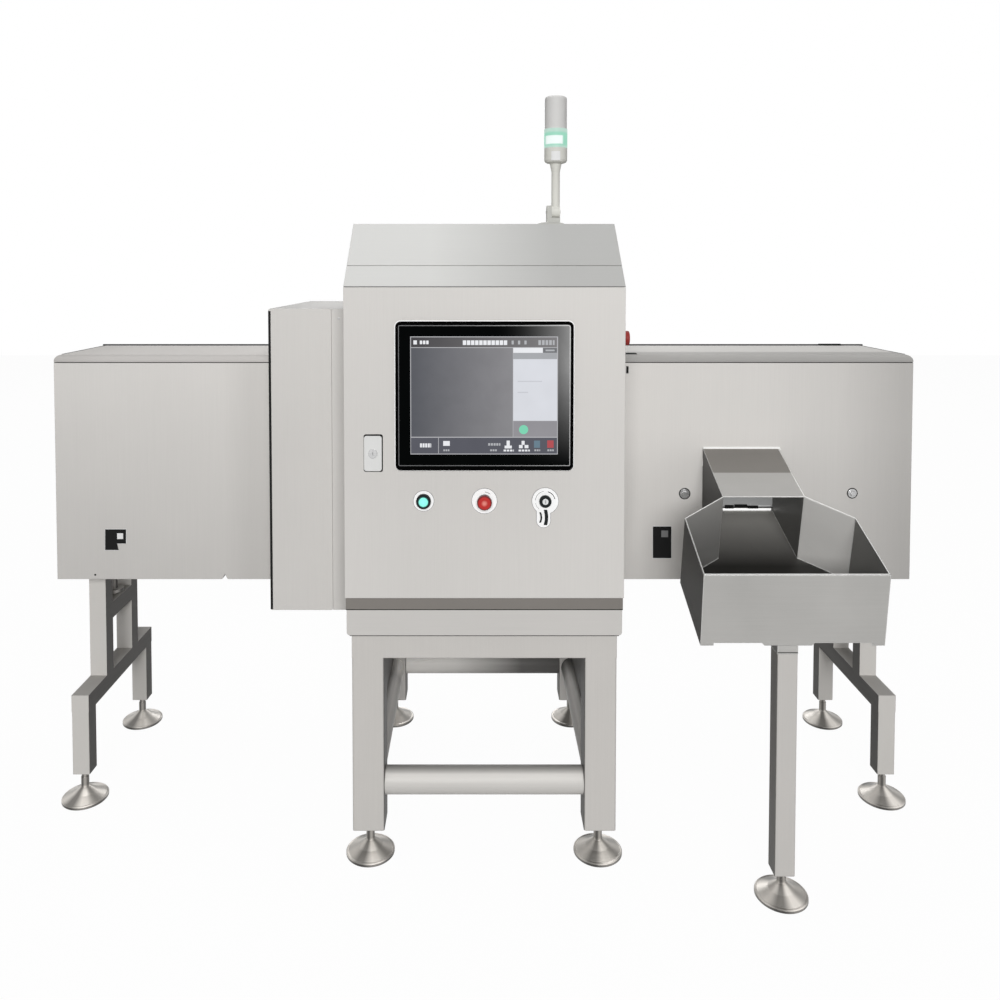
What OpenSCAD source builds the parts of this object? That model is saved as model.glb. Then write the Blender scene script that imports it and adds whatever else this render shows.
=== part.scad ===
/* [Overall] */
// Length over both conveyor covers
machine_l = 2270; // [2100:5:2500]
// Height of the belt's carrying face above the floor
belt_h = 760; // [750:5:775]
// Width of the belt
belt_w = 280; // [240:5:285]

/* [Base frame] */
// Width over the legs
frame_w = 622; // [560:2:640]
// Depth over the legs
frame_d = 700; // [640:5:705]
// Side of the square leg tube
leg_side = 75; // [60:1:90]
// Height of the top beams
beam_h = 56; // [45:1:70]
// Height of the frame's top face above the floor
frame_top = 547; // [530:1:550]
// Outer diameter of the round stretchers
stretcher_dia = 63.5; // [48:0.5:70]
// Height of the stretchers' centre line
stretcher_h = 178; // [150:1:260]

/* [Feet] */
// Height from the floor to the underside of each leg
foot_h = 76; // [68:1:90]
// Diameter of the foot's disc
foot_dia = 116; // [90:1:120]
// Diameter of the threaded stem
stem_dia = 16; // [16:1:22]

/* [Cabinet] */
// Width of the cabinet and its door
cab_w = 650; // [645:5:690]
// Depth from the door's face to the back
cab_d = 720; // [715:5:800]
// Height of the tray between frame and cabinet
tray_h = 60; // [50:1:70]
// Height of the shadow gap under the door
sill_h = 30; // [24:1:40]
// Height of the door
door_h = 725; // [700:5:800]
// Depth of the door pan
door_t = 26; // [22:1:34]
// Depth of the sloped front of the roof
roof_run = 172; // [150:1:200]
// Height gained over the sloped front of the roof
roof_rise = 154; // [130:1:180]
// Thickness of the cabinet's sheet
sheet = 3; // [2:0.5:4]

/* [Side box] */
// Width of the box beside the cabinet
box_w = 209; // [180:1:240]
// Depth from the door's face to the box's front
box_front = 150; // [120:1:200]
// Distance from the box's back to the cabinet's back
box_back_gap = 20; // [12:1:24]
// Height of the box
box_h = 755; // [700:5:780]
// Width of the bolted front cover
box_cover_w = 156; // [120:1:160]

/* [Conveyor covers] */
// Distance from the covers' back to the cabinet's back
cover_back_gap = 30; // [26:1:40]
// Depth of the covers
cover_d = 400; // [395:1:408]
// Height of the covers' lower edge above the floor
cover_low = 578; // [560:1:600]
// Height of the covers' walls
cover_wall_h = 579; // [550:1:620]
// Height of the lid above the walls
lid_h = 20; // [16:1:30]
// Depth of the lid
lid_d = 285; // [250:1:300]
// Rounding of the lid's front edge
lid_round = 16; // [8:1:18]
// Thickness of the covers' sheet
cover_sheet = 2.5; // [1.5:0.5:3]

/* [Chute] */
// Width of the hood
hood_w = 200; // [160:2:240]
// Width of the open bin
bin_w = 404; // [340:2:440]
// Distance from the middle of the outfeed cover back to the bin's centre plane
chute_shift = 56.5; // [40:0.5:70]
// Distance from the hood's centre plane to the bin's centre plane
hood_shift = 8; // [-10:1:12]
// Reach of the bin's rim in front of the door's face
bin_reach = 148; // [130:1:170]
// Height of the hood's roof where it leaves the cover
hood_top = 928; // [915:1:935]
// Thickness of the chute's sheet
chute_sheet = 2; // [1.5:0.5:3]

/* [Stands] */
// Side of the square stand tube
tube_side = 45; // [38:1:50]
// Length of the lower beam
stand_l = 441; // [400:1:480]
// Length over the upper posts
stand_top_l = 220; // [180:1:260]
// Height of the lower beam's top face
stand_beam_top = 287; // [240:1:320]

/* [Operator panel] */
// Width of the touch panel's bezel
hmi_w = 410; // [380:2:430]
// Height of the touch panel's bezel
hmi_h = 344; // [320:2:360]
// Distance between neighbouring operating elements
button_pitch = 141; // [110:1:160]
// Travel of the push buttons
button_travel = 4; // [3:0.5:5]

/* [Signal tower] */
// Diameter of the lens
lens_dia = 60; // [50:1:64]
// Diameter of the pole
pole_dia = 21.6; // [18:0.2:25]

/* [Hidden] */
// Small sizes shared by all pieces
overrun = 1;
seat = 0.3;
running = 0.05;
fine = 48;
// Depths are counted from the door's face until each node is set down on the origin
chute_leg_front = 123;
chute_leg_shift = 9.5;
reach = chute_leg_front - tube_side / 2 + foot_dia / 2;
mid_y = (cab_d - reach) / 2;
cover_front = cab_d - cover_back_gap - cover_d;
box_d = cab_d - box_back_gap - box_front;
chute_x = (cab_w + machine_l) / 4 - chute_shift;

// Base frame
frame_front = 10;
tube_wall = 4;
leg_round = 5;
plug_t = 15;
frame_left = -frame_w / 2;
frame_back = frame_front + frame_d;
beam_low = frame_top - beam_h;
stretcher_wall = 3;
side_skin_t = 2.5;

// Feet
disc_edge = 9;
edge_bevel = 2;
cone_in = 6;
cone_mid_r = 29;
cone_mid = 20;
hub_r = 13;
hub_top = 32;
collar_r = 10;
collar_under = 16;
stem_above = 60;
chute_foot_h = foot_h - collar_under;

// Cabinet
tray_inset = 3;
tray_front = 5;
tray_round = 8;
cab_low = frame_top + tray_h;
door_low = cab_low + sill_h;
door_top = door_low + door_h;
door_gap = 4;
shell_front = door_t + door_gap;
shell_back = cab_d - sheet;
roof_top = door_top + roof_rise;
roof_slope = atan2(roof_rise, roof_run);
roof_side = cab_w / 2;
seam_run = 55;
seam_gap = 2;
flange_w = 28;
door_sheet = 2.5;
hinge_in = 7;
hinge_pin_r = 4;
hinge_block = 13;
hinge_plate_t = 4;
hinge_reach_back = 45;
hinge_x = cab_w / 2 - hinge_in;
hinge_y = door_t - hinge_in;
door_clear = 1;
gasket_w = 12;

// Tunnel and conveyor
rail_t = 4;
rail_h = 67;
rail_space = 16;
conv_mid = cover_front + cover_d / 2;
conv_w = belt_w + 2 * rail_space + 2 * rail_t;
belt_t = 3;
roller_r = 30;
roller_z = belt_h - belt_t - seat - roller_r;
roller_in = 50;
roller_x = machine_l / 2 - roller_in;
shaft_r = 10;
boss_r = 20;
boss_t = 6;
rail_over = 25;
bed_t = 4;
bed_inset = 60;
rail_top = belt_h - belt_t;
rail_low = rail_top - rail_h;
cross_w = 30;
cross_t = 3;
tunnel_wall = 5;
tunnel_side = 4;
tunnel_above = 199;
tunnel_front = conv_mid - conv_w / 2 - tunnel_side - tunnel_wall;
tunnel_back = conv_mid + conv_w / 2 + tunnel_side + tunnel_wall;
tunnel_low = rail_low - tunnel_wall;
tunnel_top = belt_h + tunnel_above + tunnel_wall;
tunnel_left = -cab_w / 2 - box_w + sheet;
tunnel_right = cab_w / 2 - sheet;
beam_slot = 12;
guide_t = 6;
guide_h = 26;
guide_above = 24;
guide_in = 12;
guide_post = 16;

// X-ray parts
source_l = 320;
source_w = 190;
source_h = 190;
source_x = 0;
source_lift = 70;
fin_t = 4;
fin_pitch = 16;
fin_depth = 14;
collimator_t = 44;
collimator_top_w = 60;
scan_w = 90;
scan_h = 34;
scan_side = 10;

// Curtains
curtain_in = 18;
curtain_rod_r = 5;
curtain_bar = 14;
curtain_drop = 11;
curtain_t = 4;
curtain_strips = 8;
strip_gap = 1;
strip_clear = 6;

// Covers and lids
wall_top = cover_low + cover_wall_h;
lid_top = wall_top + lid_h;
lid_gap = 1;
lid_back = cover_front + lid_d;
hinge_r = 5;
lid_pin_r = 2.5;
lid_hinge_behind = 9;
lid_hinge_up = 8;
knuckle_l = 34;
knuckle_side_l = 16;
hinge_at_share = 0.16;
mouth_above = 200;
mouth_below = 66;
end_x = machine_l / 2;
box_left = -cab_w / 2 - box_w;
notch_from_box = 155;
notch_w = 16;
notch_h = 14;
notch_deep = 36;

// Side box
box_low = 550;
box_cover_t = 18;
box_step = 1;
box_round = 4;

// Chute
rim_slope = 22.8;
floor_slope = 20;
throat_lean = 13.5;
front_lean = 8;
hood_out = 188;
flare_out = 263;
hood_tuck = 36;
hood_end = cover_front + hood_tuck;
floor_under_belt = 8;
skirt = 8;
tab_w = 88;
tab_side_w = 29;
tab_slope = 14;
socket_wall = 3;
socket_h = 21;
spigot_h = 60;
slab_overrun = 400;
hood_clear = 1.5;

// Stands
stand_in = 55;
stand_shift = 29.5;
upper_shift = 26;
stand_front = conv_mid - stand_l / 2 - stand_shift;
upper_front = conv_mid - stand_top_l / 2 - upper_shift;
tube_wall_thin = 3;
cross_drop = 103;
pad_r = 26;
pad_t = 8;
pad_stem_r = 9;

// Door furniture
hmi_mid_up = 474;
hmi_proud = 8;
hmi_round = 12;
hmi_rim = 6.5;
hmi_back_in = 15;
hmi_back_d = 46;
hmi_glass_t = 3;
hmi_vent_w = 3;
hmi_vent_pitch = 12;
button_up = 229;
legend_t = 1.5;
legend_r = [23.5, 29, 30.5];
tab_shift = 3.8;
key_tab_w = 32;
key_tab_drop = 46;
collar_rad = [17, 15.5, 14];
collar_out = [8, 7, 7];
cap_r = [12.5, 9, 7];
barrel_r = 11;
barrel_wall = 1;
barrel_hole_r = 11.2;
contact_w = 30;
contact_h = 42;
contact_d = 40;
cap_out = 11;
cap_deep = 12;
mushroom_r = 17;
mushroom_out = 24;
mushroom_t = 11;
rotor_out = 1;
rotor_slot_w = 2;
rotor_slot_h = 8;
key_t = 2.4;
key_arc_r = [65, 28];
key_arc_w = [7.6, 3.7];
key_mid_x = [2.9, -9.2];
key_mid_down = 38;
key_high = [20.4, 26.2];
key_low = [55.6, 49.8];
lock_w = 41;
lock_h = 82;
lock_t = 3;
lock_round = 6;
lock_shift = 7;
lock_x = -(cab_w + hmi_w) / 4 + lock_shift;
lock_up = 340;
lock_r = 10.5;
lock_proud = 6;
cam_end_gap = 21;
cam_l = cab_w / 2 + lock_x - cam_end_gap;
cam_w = 16;
cam_t = 3;
cam_gap = 5;
keyway_w = 2;
keyway_h = 9;

// Stop button on the cabinet's side
estop_y = 195;
estop_z = 1229;
estop_base_r = 21;
estop_base_t = 20;
estop_stem_r = 11;
estop_head_r = 20;
estop_head_t = 16;
estop_out = 46;

// Signal tower
tower_x = 187;
tower_y = 270;
flange_r = 43;
flange_shift = 12;
dome_low = 2;
dome_mid = 6;
dome_top = 9;
dome_in = 9;
dome_flat = 24;
cheek_t = 12;
cheek_d = 34;
root_r = 15;
pin_over = 2;
fold_up = 36;
fold_pin_r = 4;
pole_rise = 140;
lamp_rise = 200;
pole_top = roof_top + pole_rise;
neck_r = 15.5;
base_top = roof_top + lamp_rise;
base_r = 29.6;
base_shoulder = 22;
base_round = 7;
green_h = 49;
top_lens_h = 84;
lens_lip = 1.5;
lens_round = 7;

// Rear panel, mains gland and control gear
louvre_rows = 7;
louvre_w = 200;
louvre_pitch = 18;
louvre_slot = 5;
louvre_up_share = 0.66;
louvre_low_share = 0.1;
gland_r = 14;
gland_l = 26;
gland_bore_r = 6;
gland_up = 40;
gear_plate_t = 3;
gear_side = 60;
gear_up = 40;
gear_h = 560;
gear_d = 42;
gear_modules_share = [[0.04, 0.70, 0.26, 0.24], [0.36, 0.70, 0.26, 0.24], [0.68, 0.70, 0.28, 0.24],
                      [0.04, 0.38, 0.44, 0.24], [0.54, 0.38, 0.42, 0.24], [0.04, 0.06, 0.92, 0.20]];

// Reject arm
arm_before_hood = 181.5;
arm_pivot_x = chute_x + hood_shift - arm_before_hood;
arm_l = 330;
arm_t = 8;
arm_h = 80;
arm_above = 5;
arm_pivot_in = 21;
arm_hub_r = 14;
arm_shaft_r = 7;
actuator_w = 60;
actuator_h = 90;
actuator_above = 4;

steel = [0.81, 0.80, 0.79];
dark_steel = [0.52, 0.50, 0.48];
black = [0.08, 0.08, 0.09];
rubber = [0.12, 0.12, 0.12];

// Moves a piece from depths behind the door's face to the origin under the part's middle
module set_down() {
    translate([0, -mid_y, 0]) children();
}

// A block between two corners
module block(low, high) {
    translate(low) cube(high - low);
}

// A rectangle with rounded corners, centred
module round_rect(w, h, r) {
    square([w - 2 * r, h], center = true);
    square([w, h - 2 * r], center = true);
    for (x = [-1, 1], y = [-1, 1])
        translate([x * (w / 2 - r), y * (h / 2 - r)]) circle(r = r, $fn = fine);
}

// A rounded plate lying in the door's plane, from depth y0 to depth y1
module door_plate(w, h, r, x, z, y0, y1) {
    translate([x, y1, z]) rotate([90, 0, 0]) linear_extrude(y1 - y0) round_rect(w, h, r);
}

// A round bar along the depth
module rod_y(r, x, z, y0, y1) {
    translate([x, y1, z]) rotate([90, 0, 0]) cylinder(r = r, h = y1 - y0, $fn = fine);
}

// A round bar along the length
module rod_x(r, y, z, x0, x1) {
    translate([x0, y, z]) rotate([0, 90, 0]) cylinder(r = r, h = x1 - x0, $fn = fine);
}

// A round bar standing up
module rod_z(r, x, y, z0, z1) {
    translate([x, y, z0]) cylinder(r = r, h = z1 - z0, $fn = fine);
}

// A side outline of depths and heights, drawn out along the length
module side_slab(points, x0, x1) {
    translate([x0, 0, 0]) rotate([90, 0, 90]) linear_extrude(x1 - x0) polygon(points);
}

// A front outline of lengths and heights, drawn out along the depth
module front_slab(points, y0, y1) {
    translate([0, y1, 0]) rotate([90, 0, 0]) linear_extrude(y1 - y0) polygon(points);
}

// A square tube standing on a threaded plug, with its low corner at x, y
module leg_tube(x, y, z0, z1, side, wall, r) {
    mid = [x + side / 2, y + side / 2, 0];
    difference() {
        translate(mid + [0, 0, z0]) linear_extrude(z1 - z0) round_rect(side, side, r);
        translate(mid + [0, 0, z0 + plug_t])
            linear_extrude(z1 - z0 - plug_t + overrun)
                square([side - 2 * wall, side - 2 * wall], center = true);
        rod_z(stem_dia / 2 + running, mid[0], mid[1], z0 - overrun, z0 + plug_t + overrun);
    }
}

module base_frame() {
    inner = leg_side - tube_wall;
    color(steel) set_down() {
        for (x = [frame_left, -frame_left - leg_side], y = [frame_front, frame_back - leg_side])
            leg_tube(x, y, foot_h, beam_low + overrun, leg_side, tube_wall, leg_round);
        difference() {
            block([frame_left, frame_front, beam_low], [-frame_left, frame_back, frame_top]);
            block([frame_left + leg_side, frame_front + leg_side, beam_low - overrun],
                  [-frame_left - leg_side, frame_back - leg_side, frame_top + overrun]);
            difference() {
                block([frame_left + tube_wall, frame_front + tube_wall, beam_low + tube_wall],
                      [-frame_left - tube_wall, frame_back - tube_wall, frame_top - tube_wall]);
                block([frame_left + inner, frame_front + inner, beam_low - overrun],
                      [-frame_left - inner, frame_back - inner, frame_top + overrun]);
            }
            for (x = [frame_left + tube_wall, -frame_left - inner],
                 y = [frame_front + tube_wall, frame_back - inner])
                block([x, y, beam_low - overrun],
                      [x + inner - tube_wall, y + inner - tube_wall, beam_low + 2 * tube_wall]);
        }
    }
}

module base_stretchers() {
    r = stretcher_dia / 2;
    bore = r - stretcher_wall;
    color(steel) set_down() {
        for (y = [frame_front + leg_side / 2, frame_back - leg_side / 2])
            difference() {
                rod_x(r, y, stretcher_h, frame_left + leg_side, -frame_left - leg_side);
                rod_x(bore, y, stretcher_h, frame_left + leg_side - overrun,
                      -frame_left - leg_side + overrun);
            }
        for (x = [frame_left + leg_side / 2, -frame_left - leg_side / 2])
            difference() {
                rod_y(r, x, stretcher_h, frame_front + leg_side, frame_back - leg_side);
                rod_y(bore, x, stretcher_h, frame_front + leg_side - overrun,
                      frame_back - leg_side + overrun);
            }
    }
}

module base_side_panels() {
    low = stretcher_h + stretcher_dia / 2 + seat;
    color(dark_steel) set_down()
        for (x = [frame_left + leg_side / 2, -frame_left - leg_side / 2])
            block([x - side_skin_t / 2, frame_front + leg_side, low],
                  [x + side_skin_t / 2, frame_back - leg_side, beam_low]);
}

module base_tray() {
    half = cab_w / 2 - tray_inset;
    deep = cab_d - tray_inset;
    color(steel) set_down() difference() {
        union() {
            block([-half, tray_front, frame_top + tray_round], [half, deep, cab_low]);
            block([-half + tray_round, tray_front, frame_top], [half - tray_round, deep, cab_low]);
            for (x = [-half + tray_round, half - tray_round])
                rod_y(tray_round, x, frame_top + tray_round, tray_front, deep);
        }
        block([-half + tray_round, tray_front + sheet, frame_top + sheet],
              [half - tray_round, deep - sheet, cab_low + overrun]);
    }
}

// Outline of a cabinet side wall, up to the underside of the roof sheets
function side_outline() = let (lift = sheet / cos(roof_slope), run = roof_run) [
    [shell_front, cab_low], [shell_back, cab_low], [shell_back, roof_top - sheet],
    [run + sheet * tan(roof_slope / 2), roof_top - sheet],
    [shell_front, door_top + shell_front * roof_rise / roof_run - lift]];

module cabinet_shell() {
    half = cab_w / 2;
    top = door_top - door_clear;
    color(steel) set_down() {
        difference() {
            union() {
                side_slab(side_outline(), -half, -half + sheet);
                side_slab(side_outline(), half - sheet, half);
                block([-half, shell_front, cab_low], [half, shell_back, cab_low + sheet]);
                difference() {
                    block([-half, shell_front, cab_low], [half, shell_front + sheet, top]);
                    block([-half + flange_w, shell_front - overrun, door_low + flange_w],
                          [half - flange_w, shell_front + sheet + overrun, top - flange_w]);
                }
            }
            block([-half - overrun, tunnel_front - seat, tunnel_low - seat],
                  [-half + sheet + overrun, tunnel_back + seat, tunnel_top + seat]);
            block([half - sheet - overrun, tunnel_front + tunnel_wall, rail_low],
                  [half + overrun, tunnel_back - tunnel_wall, tunnel_top - tunnel_wall]);
        }
    }
}

// Point on the roof's sloped front, by its run behind the door's face and its depth under the skin
function on_slope(run, under) = [run + under * sin(roof_slope),
                                 door_top + run * tan(roof_slope) - under * cos(roof_slope)];

module roof_strip() {
    lip = 6;
    color(steel) set_down()
        side_slab([on_slope(0, 0), on_slope(seam_run, 0), on_slope(seam_run, sheet),
                   on_slope(lip, sheet), [on_slope(lip, sheet)[0], door_top]],
                  -roof_side, roof_side);
}

module roof_cover() {
    gap = seam_gap * cos(roof_slope);
    bend = sheet * tan(roof_slope / 2);
    color(steel) set_down() difference() {
        side_slab([on_slope(seam_run + gap, 0), [roof_run, roof_top], [cab_d, roof_top],
                   [cab_d, roof_top - sheet], [roof_run + bend, roof_top - sheet],
                   on_slope(seam_run + gap, sheet)], -roof_side, roof_side);
        block([tower_x - flange_shift - pole_dia / 4, tower_y - pole_dia / 4, roof_top - sheet - overrun],
              [tower_x - flange_shift + pole_dia / 4, tower_y + pole_dia / 4, roof_top + overrun]);
    }
}

module rear_panel() {
    half = cab_w / 2;
    high = roof_top - sheet - cab_low;
    color(steel) set_down() difference() {
        block([-half, shell_back, cab_low], [half, cab_d, roof_top - sheet]);
        for (row = [0 : louvre_rows - 1], low = [louvre_low_share, louvre_up_share])
            translate([0, 0, cab_low + low * high + row * louvre_pitch])
                block([-louvre_w / 2, shell_back - overrun, 0],
                      [louvre_w / 2, cab_d + overrun, louvre_slot]);
        rod_y(gland_r + seat, half / 2, cab_low + gland_up, shell_back - overrun, cab_d + overrun);
    }
}

module cable_gland() {
    x = cab_w / 4;
    z = cab_low + gland_up;
    in = gland_l / 2;
    color(black) set_down() difference() {
        union() {
            rod_y(gland_r, x, z, shell_back - in, cab_d);
            translate([x, shell_back - seat, z]) rotate([90, 0, 0])
                cylinder(r = gland_r * 1.25, h = in / 2, $fn = 6);
        }
        rod_y(gland_bore_r, x, z, shell_back - in - overrun, cab_d + overrun);
    }
}

module control_gear() {
    left = -cab_w / 2 + gear_side;
    wide = cab_w - 2 * gear_side;
    low = cab_low + gear_up;
    back = tunnel_front - seat;
    skin = back - gear_plate_t;
    color(dark_steel) set_down() {
        block([left, skin, low], [left + wide, back, low + gear_h]);
        for (m = gear_modules_share)
            block([left + m[0] * wide, skin - gear_d, low + m[1] * gear_h],
                  [left + (m[0] + m[2]) * wide, skin, low + (m[1] + m[3]) * gear_h]);
    }
}

// One pivot plate with its pin: the plate lies outside the door, and the pin enters its hinge block
module hinge_post(z, dir) {
    plate = dir > 0 ? [z, z + hinge_plate_t] : [z - hinge_plate_t, z];
    pin = dir > 0 ? [z - hinge_block, z + hinge_plate_t] : [z - hinge_plate_t, z + hinge_block];
    side = hinge_in - door_clear;
    block([hinge_x - hinge_block, hinge_y - side, plate[0]],
          [hinge_x + side, shell_front, plate[1]]);
    block([hinge_x - hinge_block, shell_front - overrun, plate[0]],
          [hinge_x + side - sheet, shell_front + hinge_reach_back, plate[1]]);
    rod_z(hinge_pin_r, hinge_x, hinge_y, pin[0], pin[1]);
}

module hinge_posts() {
    color(dark_steel) set_down() difference() {
        union() {
            hinge_post(door_top, 1);
            hinge_post(door_low, -1);
        }
        block([hinge_x - hinge_block - overrun, shell_front, door_low - sill_h],
              [hinge_x + hinge_block, cab_d, door_low + door_h / 2]);
    }
}

module door_panel() {
    half = cab_w / 2;
    low = door_low + seat;
    top = door_top - seat;
    hx = hmi_w / 2 - hmi_back_in + door_clear;
    hz = hmi_h / 2 - hmi_back_in + door_clear;
    color(steel) set_down() difference() {
        block([-half, 0, low], [half, door_t, top]);
        block([-half + door_sheet, door_sheet, low + door_sheet],
              [half - door_sheet, door_t + overrun, top - door_sheet]);
        block([-hx, -overrun, door_low + hmi_mid_up - hz], [hx, door_t, door_low + hmi_mid_up + hz]);
        for (i = [-1 : 1])
            rod_y(barrel_hole_r, i * button_pitch, door_low + button_up, -overrun, door_t);
        rod_y(lock_r + seat, lock_x, door_low + lock_up, -overrun, door_t);
        rod_z(hinge_pin_r + seat, hinge_x, hinge_y, low - overrun, top + overrun);
    }
}

module door_seal() {
    half = cab_w / 2 - hinge_in - hinge_block;
    low = door_low + hinge_in;
    top = door_top - hinge_in;
    color(rubber) set_down() difference() {
        block([-half, door_t + seat, low], [half, shell_front, top]);
        block([-half + gasket_w, door_t, low + gasket_w],
              [half - gasket_w, shell_front + overrun, top - gasket_w]);
    }
}

module door_hinges() {
    color(dark_steel) set_down() difference() {
        for (z = [door_low + seat + door_sheet, door_top - seat - door_sheet - hinge_block])
            block([hinge_x - hinge_block, door_sheet, z],
                  [cab_w / 2 - door_sheet, door_t, z + hinge_block]);
        rod_z(hinge_pin_r + running, hinge_x, hinge_y, door_low, door_top);
    }
}

module lock_plate() {
    z = door_low + lock_up;
    color(steel) set_down() difference() {
        door_plate(lock_w, lock_h, lock_round, lock_x, z, -lock_t, 0);
        rod_y(lock_r + running, lock_x, z, -lock_t - overrun, overrun);
    }
}

module lock_cylinder() {
    z = door_low + lock_up;
    cam_y = shell_front + sheet + cam_gap;
    color(dark_steel) set_down() {
        difference() {
            rod_y(lock_r, lock_x, z, -lock_proud, cam_y + cam_t);
            block([lock_x - keyway_w / 2, -lock_proud - overrun, z - keyway_h / 2],
                  [lock_x + keyway_w / 2, -lock_t, z + keyway_h / 2]);
        }
        block([lock_x - cam_w / 2, cam_y, z - cam_l], [lock_x + cam_w / 2, cam_y + cam_t, z]);
    }
}

module hmi_panel() {
    z = door_low + hmi_mid_up;
    w = hmi_w - 2 * hmi_back_in;
    h = hmi_h - 2 * hmi_back_in;
    vents = floor(w / 2 / hmi_vent_pitch);
    color(black) set_down() difference() {
        union() {
            door_plate(hmi_w, hmi_h, hmi_round, 0, z, -hmi_proud, 0);
            door_plate(w, h, hmi_rim, 0, z, -overrun, hmi_back_d);
        }
        door_plate(hmi_w - 2 * hmi_rim, hmi_h - 2 * hmi_rim, hmi_round - hmi_rim / 2, 0, z,
                   -hmi_proud - overrun, -hmi_proud + hmi_glass_t);
        for (i = [-vents / 2 : vents / 2])
            translate([i * hmi_vent_pitch, 0, z - h / 4])
                block([-hmi_vent_w / 2, hmi_back_d - hmi_vent_w, 0],
                      [hmi_vent_w / 2, hmi_back_d + overrun, h / 2]);
    }
}

module hmi_screen() {
    gap = 2 * hmi_rim + 2 * seat;
    color([0.16, 0.17, 0.19]) set_down()
        door_plate(hmi_w - gap, hmi_h - gap, hmi_round - hmi_rim / 2 - seat, 0,
                   door_low + hmi_mid_up, -hmi_proud, -hmi_proud + hmi_glass_t);
}

module legend_discs() {
    z = door_low + button_up;
    color("white") set_down() for (i = [0 : 2]) difference() {
        translate([(i - 1) * button_pitch, 0, z]) rotate([90, 0, 0]) linear_extrude(legend_t) {
            circle(r = legend_r[i], $fn = fine);
            if (i == 2) {
                translate([-tab_shift, -key_tab_drop]) circle(r = key_tab_w / 2, $fn = fine);
                translate([-tab_shift - key_tab_w / 2, -key_tab_drop])
                    square([key_tab_w, key_tab_drop]);
            }
        }
        rod_y(barrel_hole_r, (i - 1) * button_pitch, z, -legend_t - overrun, overrun);
    }
}

// One of the two curved keys held on the white tab
module hung_key(i) {
    x = button_pitch + key_mid_x[i];
    z = door_low + button_up;
    mid = x - key_arc_r[i];
    w = key_arc_w[i];
    intersection() {
        difference() {
            rod_y(key_arc_r[i] + w / 2, mid, z - key_mid_down, -legend_t - key_t, -legend_t);
            rod_y(key_arc_r[i] - w / 2, mid, z - key_mid_down, -legend_t - key_t - overrun,
                  -legend_t + overrun);
        }
        block([x - 2 * w, -legend_t - key_t - overrun, z - key_low[i]],
              [x + w, -legend_t + overrun, z - key_high[i]]);
    }
}

// Collar, barrel and contact block of one operating element
module collar(i, x, z) {
    difference() {
        union() {
            rod_y(collar_rad[i], x, z, -collar_out[i] - legend_t, -legend_t);
            rod_y(barrel_r, x, z, -legend_t - overrun, door_t + contact_d / 4);
            block([x - contact_w / 2, door_t, z - contact_h / 2],
                  [x + contact_w / 2, door_t + contact_d, z + contact_h / 2]);
        }
        rod_y(min(cap_r[i], barrel_r - barrel_wall) + running, x, z,
              -collar_out[i] - legend_t - overrun, cap_deep + button_travel + overrun);
        rod_y(cap_r[i] + running, x, z, -collar_out[i] - legend_t - overrun,
              -legend_t - collar_out[i] / 4);
    }
}

module button_collars() {
    z = door_low + button_up;
    color(black) set_down() {
        for (i = [0, 1]) hung_key(i);
        for (i = [0 : 2]) collar(i, (i - 1) * button_pitch, z);
    }
}

module green_button() {
    z = door_low + button_up;
    stem = min(cap_r[0], barrel_r - barrel_wall);
    floor_y = -legend_t - collar_out[0] / 4 - button_travel - seat;
    color([0.25, 0.75, 0.62]) set_down() {
        rod_y(cap_r[0], -button_pitch, z, -legend_t - cap_out, floor_y);
        rod_y(stem, -button_pitch, z, floor_y - overrun, cap_deep);
    }
}

module red_button() {
    z = door_low + button_up;
    color([0.78, 0.08, 0.08]) set_down() translate([0, 0, z]) rotate([90, 0, 0])
        rotate_extrude($fn = fine) polygon([
            [0, -cap_deep], [cap_r[1], -cap_deep], [cap_r[1], mushroom_out - mushroom_t],
            [mushroom_r, mushroom_out - mushroom_t], [mushroom_r, mushroom_out - mushroom_t / 3],
            [mushroom_r * 0.8, mushroom_out], [0, mushroom_out]]);
}

// The switch barrel, its key in the slot and the second key hanging on the ring
module key_switch() {
    x = button_pitch;
    z = door_low + button_up;
    face = -legend_t - collar_out[2] - rotor_out;
    color([0.75, 0.75, 0.76]) set_down() difference() {
        rod_y(cap_r[2], x, z, face, cap_deep);
        block([x - rotor_slot_w / 2, face - overrun, z - rotor_slot_h / 2],
              [x + rotor_slot_w / 2, face + collar_out[2], z + rotor_slot_h / 2]);
    }
}

module estop_base() {
    half = cab_w / 2;
    color(dark_steel) set_down() difference() {
        rod_x(estop_base_r, estop_y, estop_z, half, half + estop_base_t);
        rod_x(estop_stem_r + running, estop_y, estop_z, half + sheet, half + estop_base_t + overrun);
    }
}

module estop_button() {
    half = cab_w / 2;
    low = half + sheet + button_travel + overrun;
    neck = half + estop_out - estop_head_t;
    color([0.78, 0.08, 0.08]) set_down() translate([0, estop_y, estop_z]) rotate([0, 90, 0])
        rotate_extrude($fn = fine) polygon([
            [0, low], [estop_stem_r, low], [estop_stem_r, neck], [estop_head_r, neck],
            [estop_head_r, half + estop_out - estop_head_t / 3],
            [estop_head_r * 0.75, half + estop_out], [0, half + estop_out]]);
}

module tower_bracket() {
    fold_z = roof_top + fold_up;
    side = tower_x - pole_dia / 2 - seat;
    color(steel) set_down() {
        translate([tower_x - flange_shift, tower_y, roof_top]) rotate_extrude($fn = fine * 2)
            polygon([[0, 0], [flange_r, 0], [flange_r, dome_low],
                     [flange_r - dome_in, dome_mid], [dome_flat, dome_top], [0, dome_top]]);
        rod_x(cheek_d / 2, tower_y, fold_z, side - cheek_t, side);
        block([side - cheek_t, tower_y - cheek_d / 2, roof_top + dome_low],
              [side, tower_y + cheek_d / 2, fold_z]);
        block([side - overrun, tower_y - root_r, roof_top + dome_low],
              [tower_x + pole_dia / 2, tower_y + root_r, fold_z - root_r - seat]);
        rod_x(fold_pin_r, tower_y, fold_z, side - cheek_t - pin_over,
              tower_x + pole_dia / 2 + pin_over);
    }
}

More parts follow.
